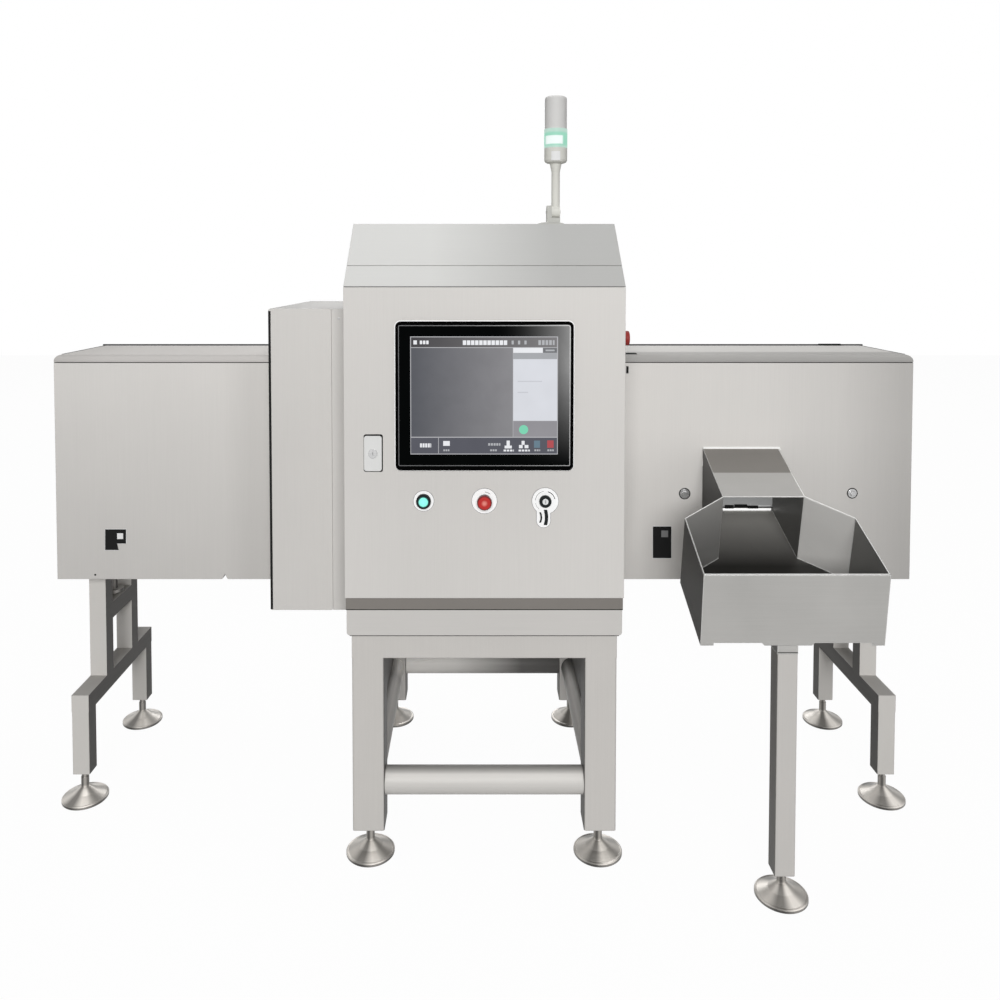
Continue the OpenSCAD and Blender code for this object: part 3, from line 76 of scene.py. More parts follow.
class Nodes:
    """Builds one node tree with few words"""

    def __init__(self, tree):
        self.tree = tree

    def put(self, socket, value):
        """Links a socket to another one, or gives it a fixed value or colour"""
        if isinstance(value, bpy.types.NodeSocket):
            self.tree.links.new(value, socket)
        elif socket.type == "RGBA":
            socket.default_value = (*value[:3], 1)
        else:
            socket.default_value = value

    def fill(self, node, **inputs):
        """Puts values into a node's inputs, named with _ for a space"""
        for key, value in inputs.items():
            self.put(node.inputs[key.replace("_", " ")], value)
        return node

    def add(self, kind, **inputs):
        return self.fill(self.tree.nodes.new(kind), **inputs)

    def math(self, operation, *values):
        node = self.tree.nodes.new("ShaderNodeMath")
        node.operation = operation
        for value, socket in zip(values, node.inputs):
            self.put(socket, value)
        return node.outputs[0]

    def times(self, first, *others):
        for other in others:
            first = self.math("MULTIPLY", first, other)
        return first

    def plus(self, a, b):
        return self.math("ADD", a, b)

    def far(self, a, b):
        """The distance of a place whose two coordinates are a and b"""
        return self.math("SQRT", self.plus(self.times(a, a), self.times(b, b)))

    def noise(self, coords, scale, detail=3.0, stretch=(1, 1, 1)):
        mapping = self.add("ShaderNodeMapping", Vector=coords, Scale=stretch)
        return self.add("ShaderNodeTexNoise", Vector=mapping.outputs[0], Scale=scale,
                        Detail=detail).outputs["Fac"]

    def spread(self, value, low, high, to_low, to_high):
        """to_low where value is low or less, to_high where it is high or more, even between them"""
        return self.add("ShaderNodeMapRange", Value=value, From_Min=low, From_Max=high,
                        To_Min=to_low, To_Max=to_high).outputs[0]

    def rise(self, value, low, high):
        return self.spread(value, low, high, 0.0, 1.0)

    def fall(self, value, low, high):
        return self.spread(value, low, high, 1.0, 0.0)

    def window(self, value, low, high, fade):
        """1 between two places, fading to 0 outside them"""
        return self.times(self.rise(value, low - fade, low + fade),
                          self.fall(value, high - fade, high + fade))

    def vary(self, noise, low, high):
        """A noise brought to a range"""
        return self.spread(noise, NOISE_LOW, NOISE_HIGH, low, high)

    def split(self, vector):
        return self.add("ShaderNodeSeparateXYZ", Vector=vector).outputs

    def lean(self):
        """The way that a face looks, along each axis"""
        return self.split(self.add("ShaderNodeNewGeometry").outputs["Normal"])

    def blend(self, factor, low, high, kind="MIX"):
        """A colour between two, or with kind MULTIPLY their product"""
        node = self.tree.nodes.new("ShaderNodeMix")
        node.data_type = "RGBA"
        node.blend_type = kind
        for index, value in ((0, factor), (6, low), (7, high)):
            self.put(node.inputs[index], value)
        return node.outputs[2]

    def shade(self, colour, factor):
        """colour times a grey factor"""
        return self.blend(1.0, colour, factor, "MULTIPLY")

    def bump(self, height, normal, strength=0.05, distance=0.3 * MM):
        return self.add("ShaderNodeBump", Strength=strength, Distance=distance, Height=height,
                        Normal=normal).outputs[0]


def new_material(name):
    material = bpy.data.materials.new(name)
    material.use_nodes = True
    nodes = Nodes(material.node_tree)
    shader = material.node_tree.nodes["Principled BSDF"]
    coords = nodes.add("ShaderNodeTexCoord").outputs["Object"]
    return material, nodes, shader, coords


def edge_mask(nodes, width):
    """1 on edges and 0 on flat faces, for a painted highlight or painted shade along the edges, and the
    normal with softened edges
    """
    bevel = nodes.add("ShaderNodeBevel", Radius=width)
    bevel.samples = 4
    dot = nodes.tree.nodes.new("ShaderNodeVectorMath")
    dot.operation = "DOT_PRODUCT"
    nodes.put(dot.inputs[0], bevel.outputs[0])
    nodes.put(dot.inputs[1], nodes.add("ShaderNodeNewGeometry").outputs["Normal"])
    return nodes.fall(dot.outputs["Value"], 0.80, 0.99), bevel.outputs[0]


def grey(tone):
    return (tone, tone, tone)


# Finishes
def ground_steel(name, colour, grain, rough=0.52, metal=0.08, tone=0.03, soft_edge=1.5 * MM,
                 edge_gain=0.08, sheen=0.12, fade=(), turned=(), inward_shade=1.0, rear_light_and_shade=None):
    """Stainless sheet or tube ground along the axis where grain is small, with a painted highlight on its
    edges.
    fade holds (axis, low, high, tone at low, tone at high) for painted light and shade along the sheet,
    turned the same for the way that a face looks, as painted light and shade, inward_shade is the tone of
    painted shade on faces that look towards the machine's middle, and rear_light_and_shade (depth, x low, x
    high, tone at low, tone at high) painted light and shade along the parts that lie behind a depth"""
    material, nodes, shader, coords = new_material(name)
    fine = nodes.noise(coords, 1.0, 2.0, grain)
    cloud = nodes.noise(coords, 2.2, 4.0)
    painted_edge_mask, normal = edge_mask(nodes, soft_edge)
    tint = nodes.plus(nodes.vary(cloud, 1 - tone, 1 + tone * 0.4), nodes.vary(fine, -0.016, 0.016))
    place, lean = nodes.split(coords), nodes.lean()
    # painted light and shade along the sheet, and on faces by the way that they look
    for source, rules in ((place, fade), (lean, turned)):
        for axis, *change in rules:
            tint = nodes.times(tint, nodes.spread(source[axis], *change))
    # painted light and shade along the parts that lie behind a depth
    if rear_light_and_shade:
        depth, *change = rear_light_and_shade
        behind = nodes.rise(place["Y"], depth - 50 * MM, depth + 50 * MM)
        along = nodes.spread(place["X"], *change)
        swing = nodes.times(behind, nodes.math("SUBTRACT", along, 1.0))
        tint = nodes.times(tint, nodes.plus(swing, 1.0))
    # painted shade on faces that look towards the machine's middle
    if inward_shade < 1.0:
        outward = nodes.times(nodes.math("SIGN", place["X"]), lean["X"])
        tint = nodes.times(tint, nodes.spread(outward, -0.9, -0.6, inward_shade, 1.0))
    # edge_gain adds a painted highlight along the edges
    nodes.fill(shader, Metallic=metal, Specular_IOR_Level=sheen, Normal=nodes.bump(fine, normal),
               Base_Color=nodes.shade(colour, nodes.plus(tint, nodes.times(painted_edge_mask, edge_gain))),
               Roughness=nodes.plus(nodes.vary(fine, rough - 0.06, rough + 0.06),
                                    nodes.vary(cloud, -0.03, 0.03)))
    return material


def moulded(name, colour, rough=0.4, grain=900.0, painted_edge_gain=0.06, sheen=0.3, glow=0.0):
    """Plastic or paint with a fine moulded skin; its edges can be lighter or darker as a painted highlight
    or painted shade, and glow gives it painted light of its own
    """
    material, nodes, shader, coords = new_material(name)
    fine = nodes.noise(coords, grain, 2.0)
    cloud = nodes.noise(coords, 9.0)
    painted_edge_mask, normal = edge_mask(nodes, 0.6 * MM)
    tone = nodes.shade(colour, nodes.plus(nodes.vary(cloud, 0.96, 1.03), nodes.times(painted_edge_mask, painted_edge_gain)))
    nodes.fill(shader, Base_Color=tone, Roughness=nodes.vary(fine, rough - 0.05, rough + 0.05),
               Specular_IOR_Level=sheen, Normal=nodes.bump(fine, normal, 0.08, 0.2 * MM))
    # glow here is painted light: none of the parts that use it is a lamp
    if glow > 0:
        nodes.fill(shader, Emission_Color=tone, Emission_Strength=glow)
    return material


def glowing(name, colour):
    """A lit screen field that gives off light of its own"""
    material, nodes, shader, coords = new_material(name)
    cloud = nodes.noise(coords, 14.0, 2.0)
    tint = nodes.vary(cloud, 0.96, 1.02)
    nodes.fill(shader, Base_Color=nodes.shade([c * FIELD_BODY for c in colour], tint),
               Emission_Color=nodes.shade(colour, tint), Emission_Strength=1.0,
               Specular_IOR_Level=FIELD_SHEEN, Roughness=nodes.vary(cloud, 0.32, 0.38))
    return material


def capped_button(name, middle, rim_colour, face_colour, heart_colour, face_r, heart_r, glow):
    """A round cap: dark rim, coloured face and a lighter heart, all round the cap's own axis"""
    material, nodes, shader, coords = new_material(name)
    place = nodes.split(coords)
    far = nodes.far(nodes.math("SUBTRACT", place["X"], middle[0]),
                    nodes.math("SUBTRACT", place["Z"], middle[1]))
    cloud = nodes.vary(nodes.noise(coords, 300.0), 0.92, 1.04)
    face = nodes.fall(far, face_r - 0.8 * MM, face_r + 0.8 * MM)
    heart = nodes.fall(far, heart_r * 0.5, heart_r * 1.3)
    tone = nodes.blend(heart, face_colour, heart_colour)
    tone = nodes.shade(nodes.blend(face, rim_colour, tone), cloud)
    nodes.fill(shader, Base_Color=tone, Emission_Color=tone, Emission_Strength=glow,
               Specular_IOR_Level=0.3, Roughness=nodes.spread(cloud, 0.92, 1.04, 0.28, 0.36))
    return material


FIELD_BODY, FIELD_SHEEN = 0.06, 0.1
ACROSS = (6, 900, 900)
UPRIGHT = (900, 900, 6)
DEEP = (900, 6, 900)
SHEET = (0.640, 0.622, 0.598)
TUBE = (0.640, 0.618, 0.590)

# Copies of the ground sheet: the fades and face tones given below are painted light and shade
sheet_upright = ground_steel("sheet_ground_upright", SHEET, UPRIGHT)
sheet_across = ground_steel("sheet_ground_across", SHEET, ACROSS)
# door: painted light, a little lighter towards the right and towards the bottom
door_sheet = ground_steel("door_ground_upright", SHEET, UPRIGHT,
                          fade=[("X", -0.10, 0.30, 1.0, 1.04), ("Z", 0.64, 0.90, 1.08, 1.02)])
# side box: painted shade on its right part and on faces that look up
box_sheet = ground_steel("side_box_ground", SHEET, UPRIGHT, fade=[("X", -0.385, -0.335, 1.0, 0.78)],
                         turned=[("Z", 0.3, 0.8, 1.0, 0.58)])
# covers: painted light and shade, lighter upwards and darker towards the right, the outfeed cover also
# darker near its top
cover_in_sheet = ground_steel(
    "infeed_cover_ground", SHEET, UPRIGHT,
    fade=[("Z", COVER_IN_LOW.z, COVER_IN_HIGH.z, 0.92, 1.10), ("X", -0.69, -0.62, 1.0, 0.91)])
cover_out_sheet = ground_steel(
    "outfeed_cover_ground", SHEET, UPRIGHT,
    fade=[("Z", COVER_IN_LOW.z, COVER_IN_HIGH.z, 0.96, 1.20), ("Z", 0.98, 1.14, 1.0, 0.915),
          ("X", 0.75, 1.12, 1.0, 0.84), ("X", 0.94, 1.11, 1.0, 0.87)])
# lids: painted shade on their front bands and front faces, and at the infeed lid's left end
lid_in_sheet = ground_steel("infeed_lid_ground", (0.74, 0.715, 0.69), ACROSS, 0.62, 0.05, sheen=0.05,
                            fade=[("X", -1.14, -1.0, 0.90, 1.0)],
                            turned=[("Y", -0.40, -0.15, 0.77, 1.0)])
lid_out_sheet = ground_steel("outfeed_lid_ground", (0.76, 0.745, 0.72), ACROSS, 0.62, 0.05, sheen=0.05,
                             fade=[("Y", 0.075, 0.115, 0.66, 1.0)],
                             turned=[("Y", -0.9, -0.3, 0.78, 1.0)])
lock_sheet = ground_steel("lock_plate_bright", (0.74, 0.74, 0.73), UPRIGHT, 0.42)
# roof: painted light and shade, lighter to the left and darker to the right
roof_sheet = ground_steel("roof_sheet_ground", (0.545, 0.545, 0.532), ACROSS, 0.55, sheen=0.08,
                          fade=[("X", -0.13, 0.17, 1.205, 0.862)])
# legs: painted shade on the faces that look towards the machine's middle
tube_upright = ground_steel("tube_ground_upright", TUBE, UPRIGHT, 0.5, 0.04, soft_edge=3 * MM, sheen=0.1,
                            inward_shade=0.22)
# stretchers: painted shade on the rear ones and on their tops, painted light on the upper slope of the
# round, and across the rear one light on the left and shade on the right
tube_across = ground_steel("tube_ground_across", (0.72, 0.70, 0.67), ACROSS, 0.45, 0.04, sheen=0.1,
                           fade=[("Y", 0.2, 0.4, 1.0, 0.46)],
                           turned=[("Z", 0.0, 0.4, 0.92, 0.94), ("Z", 0.42, 0.72, 1.0, 1.26),
                                   ("Z", 0.78, 1.0, 1.0, 0.55)],
                           rear_light_and_shade=(0.3, -0.22, 0.12, 2.7, 0.35))
# chute leg: painted shade on the faces that look left
leg_tube = ground_steel("chute_leg_ground", (0.60, 0.58, 0.555), UPRIGHT, 0.5, 0.04, soft_edge=3 * MM,
                        edge_gain=0.14, sheen=0.1, turned=[("X", -0.9, -0.5, 0.42, 1.0)])
# stands: painted shade on faces that look towards the machine's middle and on faces that look up
stand_tube = ground_steel("stand_tube_ground", (0.65, 0.63, 0.60), DEEP, 0.5, 0.04, edge_gain=0.16,
                          soft_edge=2 * MM, sheen=0.1, inward_shade=0.20,
                          turned=[("Z", 0.3, 0.7, 1.0, 0.74)])
inner_sheet = ground_steel("inner_mill_finish", (0.20, 0.195, 0.185), DEEP, 0.5, 0.3)
# side panels: a darker copy of the sheet tone and painted shade on faces that look towards the machine's
# middle
panel_sheet = ground_steel("side_panel_ground", (0.50, 0.485, 0.46), UPRIGHT, 0.5, 0.06, inward_shade=0.26)
bright_steel = ground_steel("bright_lock_metal", grey(0.50), ACROSS, 0.30, 0.8)
key_metal = ground_steel("key_switch_silver", (0.74, 0.75, 0.75), ACROSS, 0.4, 0.3)
roller_metal = ground_steel("roller_turned", grey(0.60), DEEP, 0.3, 0.8)
black_plastic = moulded("bezel_black", grey(0.002), 0.42, sheen=0.0)
black_trim_and_shadow = moulded("black_trim_and_shadow", grey(0.012), 0.6, sheen=0.08)
collar_black = moulded("collar_black", (0.010, 0.013, 0.013), 0.42, sheen=0.12)
# legend discs: darker edges as painted shade and a faint glow as painted light
glowing_white = moulded("legend_white", (0.97, 0.97, 0.965), 0.5, painted_edge_gain=-0.5, sheen=0.1, glow=0.13)
# bright thin bars and strips as painted highlights along edges, with a glow as painted light
edge_highlight_white = moulded("painted_edge_highlight", (0.90, 0.90, 0.88), 0.4, painted_edge_gain=0.0, glow=0.12)
joint_grey = moulded("joint_grey", (0.14, 0.14, 0.135), 0.6, sheen=0.05)
mark_and_highlight_white = moulded("mark_and_highlight_white", grey(0.85), 0.5, sheen=0.1)
mark_grey = moulded("mark_grey", grey(0.22), 0.5, sheen=0.1)
red_plastic = moulded("stop_red", (0.33, 0.035, 0.030), 0.45, sheen=0.2)
tower_beige = moulded("tower_warm_grey", (0.73, 0.725, 0.675), 0.55, sheen=0.08)
grey_lens = moulded("tower_grey_lens", (0.67, 0.665, 0.65), 0.5, sheen=0.12)
tower_foot = moulded("tower_foot_grey", (0.54, 0.54, 0.51), 0.55, sheen=0.08)
# belt: its glow is painted light, which keeps it light in the shade under the hood
belt_white = moulded("belt_white", (0.74, 0.75, 0.75), 0.45, grain=500.0, glow=0.22)
rubber = moulded("rubber_black", grey(0.018), 0.62, grain=400.0)
shield_paint = moulded("shield_paint", (0.20, 0.24, 0.27), 0.45)
gear_paint = moulded("gear_paint", (0.30, 0.30, 0.29), 0.45)
actuator_paint = moulded("actuator_paint", (0.09, 0.10, 0.11), 0.4)
# grey of the sill in the gap under the door, a painted shade
sill_shade = moulded("sill_painted_shade", (0.245, 0.228, 0.21), 0.55, sheen=0.1)


def turned_foot(node):
    """A turned steel foot, with light and dark sectors round its axis as a painted reflection, painted
    shade on the stem and on the side of the disc, and a painted highlight on its edges
    """
    low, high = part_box(node)
    material, nodes, shader, coords = new_material(node + "_turned")
    place = nodes.split(coords)
    across = nodes.math("SUBTRACT", place["X"], (low.x + high.x) / 2)
    deep = nodes.math("SUBTRACT", place["Y"], (low.y + high.y) / 2)
    # painted reflection: light and dark sectors round the axis
    angle = nodes.math("ARCTAN2", across, deep)
    swing = nodes.plus(*(nodes.math("SINE", nodes.times(angle, count)) for count in (3.0, 5.0)))
    sectors = nodes.spread(swing, -1.5, 1.5, 0.42, 1.62)
    ripple = nodes.math("SINE", nodes.times(nodes.far(across, deep), 4200.0))
    rings = nodes.spread(ripple, -1, 1, 0.96, 1.03)
    painted_edge_mask, normal = edge_mask(nodes, 1.2 * MM)
    # painted shade up the stem and on the disc's side
    stem = nodes.spread(place["Z"], low.z + 31 * MM, low.z + 40 * MM, 1.0, 0.42)
    side = nodes.times(nodes.fall(nodes.lean()["Z"], 0.2, 0.5),
                       nodes.fall(place["Z"], low.z + 8 * MM, low.z + 10 * MM))
    tone = nodes.plus(nodes.times(sectors, rings), nodes.times(painted_edge_mask, 0.10))
    tone = nodes.times(tone, stem, nodes.spread(side, 0.0, 1.0, 1.0, 0.30))
    nodes.fill(shader, Base_Color=nodes.shade((0.60, 0.57, 0.53), tone), Metallic=0.30,
               Specular_IOR_Level=0.25, Roughness=nodes.spread(rings, 0.96, 1.03, 0.30, 0.38),
               Normal=normal)
    return material


def middle_of(low, high):
    return ((low.x + high.x) / 2, (low.z + high.z) / 2)


GREEN_MIDDLE, RED_MIDDLE, KEY_MIDDLE = (middle_of(*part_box(node)) for node in
                                        ("green_button", "red_button", "key_switch"))
green_cap = capped_button("start_green", GREEN_MIDDLE, (0.012, 0.055, 0.055),
                          (0.22, 0.80, 0.66), (0.26, 0.86, 0.74), 10.6 * MM, 7.0 * MM, 0.45)
# the red cap's lighter heart is a painted highlight, and its faint glow painted light
red_cap = capped_button("push_red", RED_MIDDLE, (0.16, 0.010, 0.012),
                        (0.52, 0.022, 0.018), (0.80, 0.24, 0.20), 14.5 * MM, 6.0 * MM, 0.05)


def lit_lens():
    """The green lamp: pale bands with a bright block of light in the middle"""
    material, nodes, shader, coords = new_material("tower_green")
    place = nodes.split(coords)
    middle_x = (LENS_LOW.x + LENS_HIGH.x) / 2
    tall = LENS_HIGH.z - LENS_LOW.z
    block = nodes.times(
        nodes.window(place["X"], middle_x - 27 * MM, middle_x + 16 * MM, 2 * MM),
        nodes.window(place["Z"], LENS_LOW.z + 0.18 * tall, LENS_LOW.z + 0.62 * tall, 1.5 * MM))
    band = nodes.window(place["Z"], LENS_LOW.z + 0.10 * tall, LENS_LOW.z + 0.80 * tall, 3 * MM)
    cloud = nodes.vary(nodes.noise(coords, 60.0), 0.97, 1.02)
    tone = nodes.blend(band, (0.52, 0.72, 0.63), (0.34, 0.70, 0.54))
    tone = nodes.shade(nodes.blend(block, tone, (0.92, 1.0, 0.98)), cloud)
    nodes.fill(shader, Base_Color=nodes.shade(tone, nodes.spread(cloud, 0.97, 1.02, 0.28, 0.30)),
               Emission_Color=tone, Emission_Strength=0.74, Specular_IOR_Level=0.12,
               Roughness=nodes.spread(cloud, 0.97, 1.02, 0.45, 0.5))
    return material


def dark_glass():
    """The touch glass: black, with a soft grey reflection towards its upper right corner"""
    material, nodes, shader, coords = new_material("screen_glass")
    place = nodes.split(coords)
    right = nodes.rise(place["X"], SCREEN_LOW.x, SCREEN_HIGH.x)
    up = nodes.rise(place["Z"], SCREEN_LOW.z, SCREEN_HIGH.z)
    glare = nodes.times(nodes.math("POWER", nodes.rise(right, 0.52, 1.0), 3.2),
                        nodes.math("POWER", nodes.rise(up, 0.0, 0.68), 1.5))
    cloud = nodes.vary(nodes.noise(coords, 18.0), 0.9, 1.05)
    nodes.fill(shader, Specular_IOR_Level=0.0, Roughness=nodes.spread(cloud, 0.9, 1.05, 0.16, 0.22),
               Base_Color=nodes.shade(nodes.blend(glare, (0.0025, 0.003, 0.003), grey(0.33)), cloud))
    return material


# Chute tones: the band, inside and throat tones are painted shade, the edge tone is a painted highlight
CHUTE_OUTSIDE = (0.47, 0.462, 0.445)
CHUTE_BAND = (0.245, 0.232, 0.215)
CHUTE_INSIDE = (0.030, 0.029, 0.027)
CHUTE_THROAT = (0.36, 0.35, 0.33)
CHUTE_EDGE_HIGHLIGHT = (0.98, 0.98, 0.96)
HOOD_FOOT = CHUTE_HIGH.z - 100 * MM
HOOD_BAND = CHUTE_HIGH.z - 56.4 * MM


def folded_chute():
    """Ground stainless outside, with painted shade inside the bin, on the hood's upper band and on faces by
    the way they look, and a painted highlight along the edges
    """
    material, nodes, shader, coords = new_material("chute_sheet_ground")
    place, lean = nodes.split(coords), nodes.lean()
    fine = nodes.noise(coords, 1.0, 2.0, ACROSS)
    cloud = nodes.noise(coords, 5.0, 4.0)
    painted_edge_mask, normal = edge_mask(nodes, 3.2 * MM)
    # painted shade on the bin's floor, darkest at the front and lighter towards the throat
    inside = nodes.times(nodes.fall(place["Z"], HOOD_FOOT - 60 * MM, HOOD_FOOT - 10 * MM),
                         nodes.rise(lean["Z"], 0.35, 0.75))
    # painted shade on the hood's upper band
    upper = nodes.times(nodes.rise(place["Z"], HOOD_BAND - 0.7 * MM, HOOD_BAND + 0.7 * MM),
                        nodes.rise(lean["Z"], 0.2, 0.4))
    depth = nodes.rise(place["Y"], CHUTE_LOW.y + 0.26, CHUTE_LOW.y + 0.42)
    tone = nodes.blend(inside, CHUTE_OUTSIDE, nodes.blend(depth, CHUTE_INSIDE, CHUTE_THROAT))
    tone = nodes.blend(upper, tone, CHUTE_BAND)

    def partly(part, change):
        """change where part is 1, no change where it is 0"""
        return nodes.plus(nodes.times(part, change), nodes.math("SUBTRACT", 1.0, part))

    # painted light and shade on faces by the way they look: on faces that look left and right, on the side
    # walls and on the wall beside the hood
    turned_right = partly(nodes.rise(lean["X"], 0.15, 0.45),
                          nodes.spread(place["Z"], 0.72, 0.88, 0.45, 0.95))
    turned_left = nodes.spread(lean["X"], -0.45, -0.15, 1.64, 1.0)
    side_wall = partly(nodes.rise(nodes.math("ABSOLUTE", lean["X"]), 0.82, 0.92),
                       nodes.spread(place["X"], CHUTE_LOW.x, CHUTE_HIGH.x, 0.10, 0.34))
    hood_wall = nodes.times(nodes.window(place["Z"], 0.76, 0.86, 0.06),
                            nodes.fall(lean["X"], -0.95, -0.85), nodes.fall(place["X"], 0.60, 0.62))
    side_wall = nodes.times(side_wall, nodes.spread(hood_wall, 0.0, 1.0, 1.0, 0.25))
    tone = nodes.shade(tone, nodes.times(turned_right, turned_left, side_wall))
    tint = nodes.plus(nodes.vary(cloud, 0.93, 1.04), nodes.vary(fine, -0.03, 0.03))
    # painted highlight along the edges
    nodes.fill(shader, Base_Color=nodes.blend(painted_edge_mask, nodes.shade(tone, tint), CHUTE_EDGE_HIGHLIGHT),
               Roughness=nodes.vary(fine, 0.40, 0.50), Metallic=0.25, Specular_IOR_Level=0.2,
               Normal=nodes.bump(fine, normal))
    return material


green_lens = lit_lens()
screen_glass = dark_glass()
chute_sheet = folded_chute()

FINISH = {
    "base_frame": tube_upright, "base_stretchers": tube_across, "base_side_panels": panel_sheet,
    "base_tray": sheet_across, "cabinet_shell": sheet_upright, "roof_strip": roof_sheet,
    "roof_cover": roof_sheet, "rear_panel": sheet_upright, "cable_gland": black_plastic,
    "control_gear": gear_paint, "hinge_posts": inner_sheet, "door_panel": door_sheet,
    "door_seal": rubber, "door_hinges": inner_sheet, "lock_plate": lock_sheet,
    "lock_cylinder": bright_steel, "hmi_panel": black_plastic, "hmi_screen": screen_glass,
    "legend_discs": glowing_white, "button_collars": collar_black, "green_button": green_cap,
    "red_button": red_cap, "key_switch": key_metal, "estop_base": gear_paint,
    "estop_button": red_plastic, "tower_bracket": tower_foot, "tower_pole": tower_beige,
    "tower_green_lens": green_lens, "tower_top_lens": grey_lens, "side_box": box_sheet,
    "side_box_cover": sheet_upright, "infeed_cover": cover_in_sheet, "infeed_lid": lid_in_sheet,
    "outfeed_cover": cover_out_sheet, "outfeed_lid": lid_out_sheet, "conveyor_frame": inner_sheet,
    "conveyor_belt": belt_white, "drive_roller": roller_metal, "idler_roller": roller_metal,
    "guide_rails": collar_black, "xray_tunnel": inner_sheet, "xray_source": shield_paint,
    "detector": shield_paint, "infeed_curtain": rubber, "outfeed_curtain": rubber,
    "reject_actuator": actuator_paint, "reject_arm": belt_white, "infeed_stand": stand_tube,
    "outfeed_stand": stand_tube, "chute": chute_sheet, "chute_leg": leg_tube,
}

for node_name, node_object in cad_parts.items():
    slots = node_object.data.materials
    slots.clear()
    slots.append(FINISH[node_name] if node_name in FINISH else turned_foot(node_name))


# Mesh helpers
def new_object(name, data):
    obj = bpy.data.objects.new(name, data)
    bpy.context.scene.collection.objects.link(obj)
    return obj


def carry(obj, body):
    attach(obj, body)
    return obj


def from_bmesh(name, bm, material, body):
    bmesh.ops.recalc_face_normals(bm, faces=bm.faces)
    mesh = bpy.data.meshes.new(name)
    bm.to_mesh(mesh)
    bm.free()
    mesh.materials.append(material)
    return carry(new_object(name, mesh), body)


def add_block(bm, low, high, bevel=0.0):
    made = bmesh.ops.create_cube(bm, size=1.0)
    size = Vector(high) - Vector(low)
    middle = (Vector(high) + Vector(low)) / 2
    for v in made["verts"]:
        v.co = Vector((v.co.x * size.x, v.co.y * size.y, v.co.z * size.z)) + middle
    if bevel > 0:
        edges = list({e for v in made["verts"] for e in v.link_edges})
        bmesh.ops.bevel(bm, geom=edges, offset=bevel, segments=2, affect="EDGES", profile=0.5)


def strip(name, low, high, material, body="machine", bevel=0.0):
    """A thin bar between two corners"""
    bm = bmesh.new()
    add_block(bm, low, high, bevel)
    return from_bmesh(name, bm, material, body)


def even(low, high, count):
    """count values at even steps from low to high, both of them too"""
    return [low + (high - low) * i / (count - 1) for i in range(count)]


def on_circle(x, z, radius, angles):
    return [(x + radius * math.cos(a), z + radius * math.sin(a)) for a in angles]


def circle(x, z, radius, steps=40):
    return on_circle(x, z, radius, [2 * math.pi * i / steps for i in range(steps)])


def rounded(x0, x1, z0, z1, radius, steps=6):
    """The outline of a rectangle with round corners"""
    points = []
    corners = ((x1 - radius, z1 - radius, 0), (x0 + radius, z1 - radius, 90),
               (x0 + radius, z0 + radius, 180), (x1 - radius, z0 + radius, 270))
    for cx, cz, start in corners:
        points += on_circle(cx, cz, radius, map(math.radians, even(start, start + 90, steps + 1)))
    return points


def join_loops(bm, first, second):
    for i in range(len(first)):
        j = (i + 1) % len(first)
        bm.faces.new((first[i], first[j], second[j], second[i]))


def close_loops(bm, loops):
    """Joins loops of points in a row, and closes both ends"""
    for first, second in zip(loops, loops[1:]):
        join_loops(bm, first, second)
    bm.faces.new(loops[0])
    bm.faces.new(loops[-1])


def add_disc(bm, x, z, radius, y_back, y_front, segments=32, bevel=0.0):
    """A round disc on a face that looks to the front"""
    rings = ((radius, y_back), (radius, y_front + bevel), (radius - bevel, y_front))
    close_loops(bm, [[bm.verts.new((px, y, pz)) for px, pz in circle(x, z, r, segments)]
                     for r, y in rings])


def add_turned(bm, profile, middle, segments=48):
    """A turned shape on an axis that points to the right: profile is (place along it, radius)"""
    close_loops(bm, [[bm.verts.new((along, y, z)) for y, z in circle(*middle, radius, segments)]
                     for along, radius in profile])


def add_bar(bm, start, end, radius, sides=6):
    """A thin round bar from one place to another"""
    along = (end - start).normalized()
    side = along.cross(Vector((0.3, 0.5, 0.8))).normalized()
    other = along.cross(side)
    close_loops(bm, [[bm.verts.new(place + side * a + other * b) for a, b in circle(0, 0, radius, sides)]
                     for place in (start, end)])


def add_plate(bm, outline, y_back, y_front, hole=None):
    """A flat plate cut to an outline, or a ring between an outline and a hole"""
    walls = []
    for points in (outline, hole) if hole else (outline,):
        walls.append([[bm.verts.new((x, y, z)) for x, z in points] for y in (y_back, y_front)])
        join_loops(bm, *walls[-1])
    for i in (0, 1):
        if hole:
            join_loops(bm, walls[0][i], walls[1][i])
        else:
            bm.faces.new(walls[0][i])


def plate(name, outline, y_back, y_front, material, body="door", hole=None):
    bm = bmesh.new()
    add_plate(bm, outline, y_back, y_front, hole)
    return from_bmesh(name, bm, material, body)


def add_arc(bm, x, z, radius, width, start, end, y_back, y_front, steps=16):
    """A printed arc: angles in degrees from the right, turning upwards"""
    angles = [math.radians(a) for a in even(start, end, steps + 1)]
    add_plate(bm, on_circle(x, z, radius + width / 2, angles)
              + on_circle(x, z, radius - width / 2, angles[::-1]), y_back, y_front)


# The camera stands where the photograph was taken from
FOCAL_PX = 870.0
FRAME_PX = 1000.0
PRINCIPAL_PX = (477.0, 302.0)
EYE = (-17.2 * MM, DOOR_FACE - 2000 * MM, 1401 * MM)
PITCH = math.radians(2.1)
SENSOR = 36.0

camera_data = bpy.data.cameras.new("camera")
camera_data.sensor_width = SENSOR
camera_data.lens = SENSOR * FOCAL_PX / FRAME_PX
camera_data.shift_x = (FRAME_PX / 2 - PRINCIPAL_PX[0]) / FRAME_PX
camera_data.shift_y = (PRINCIPAL_PX[1] - FRAME_PX / 2) / FRAME_PX
camera = new_object("camera", camera_data)
camera.location = EYE
camera.rotation_euler = (math.radians(90) - PITCH, 0, 0)
bpy.context.scene.camera = camera


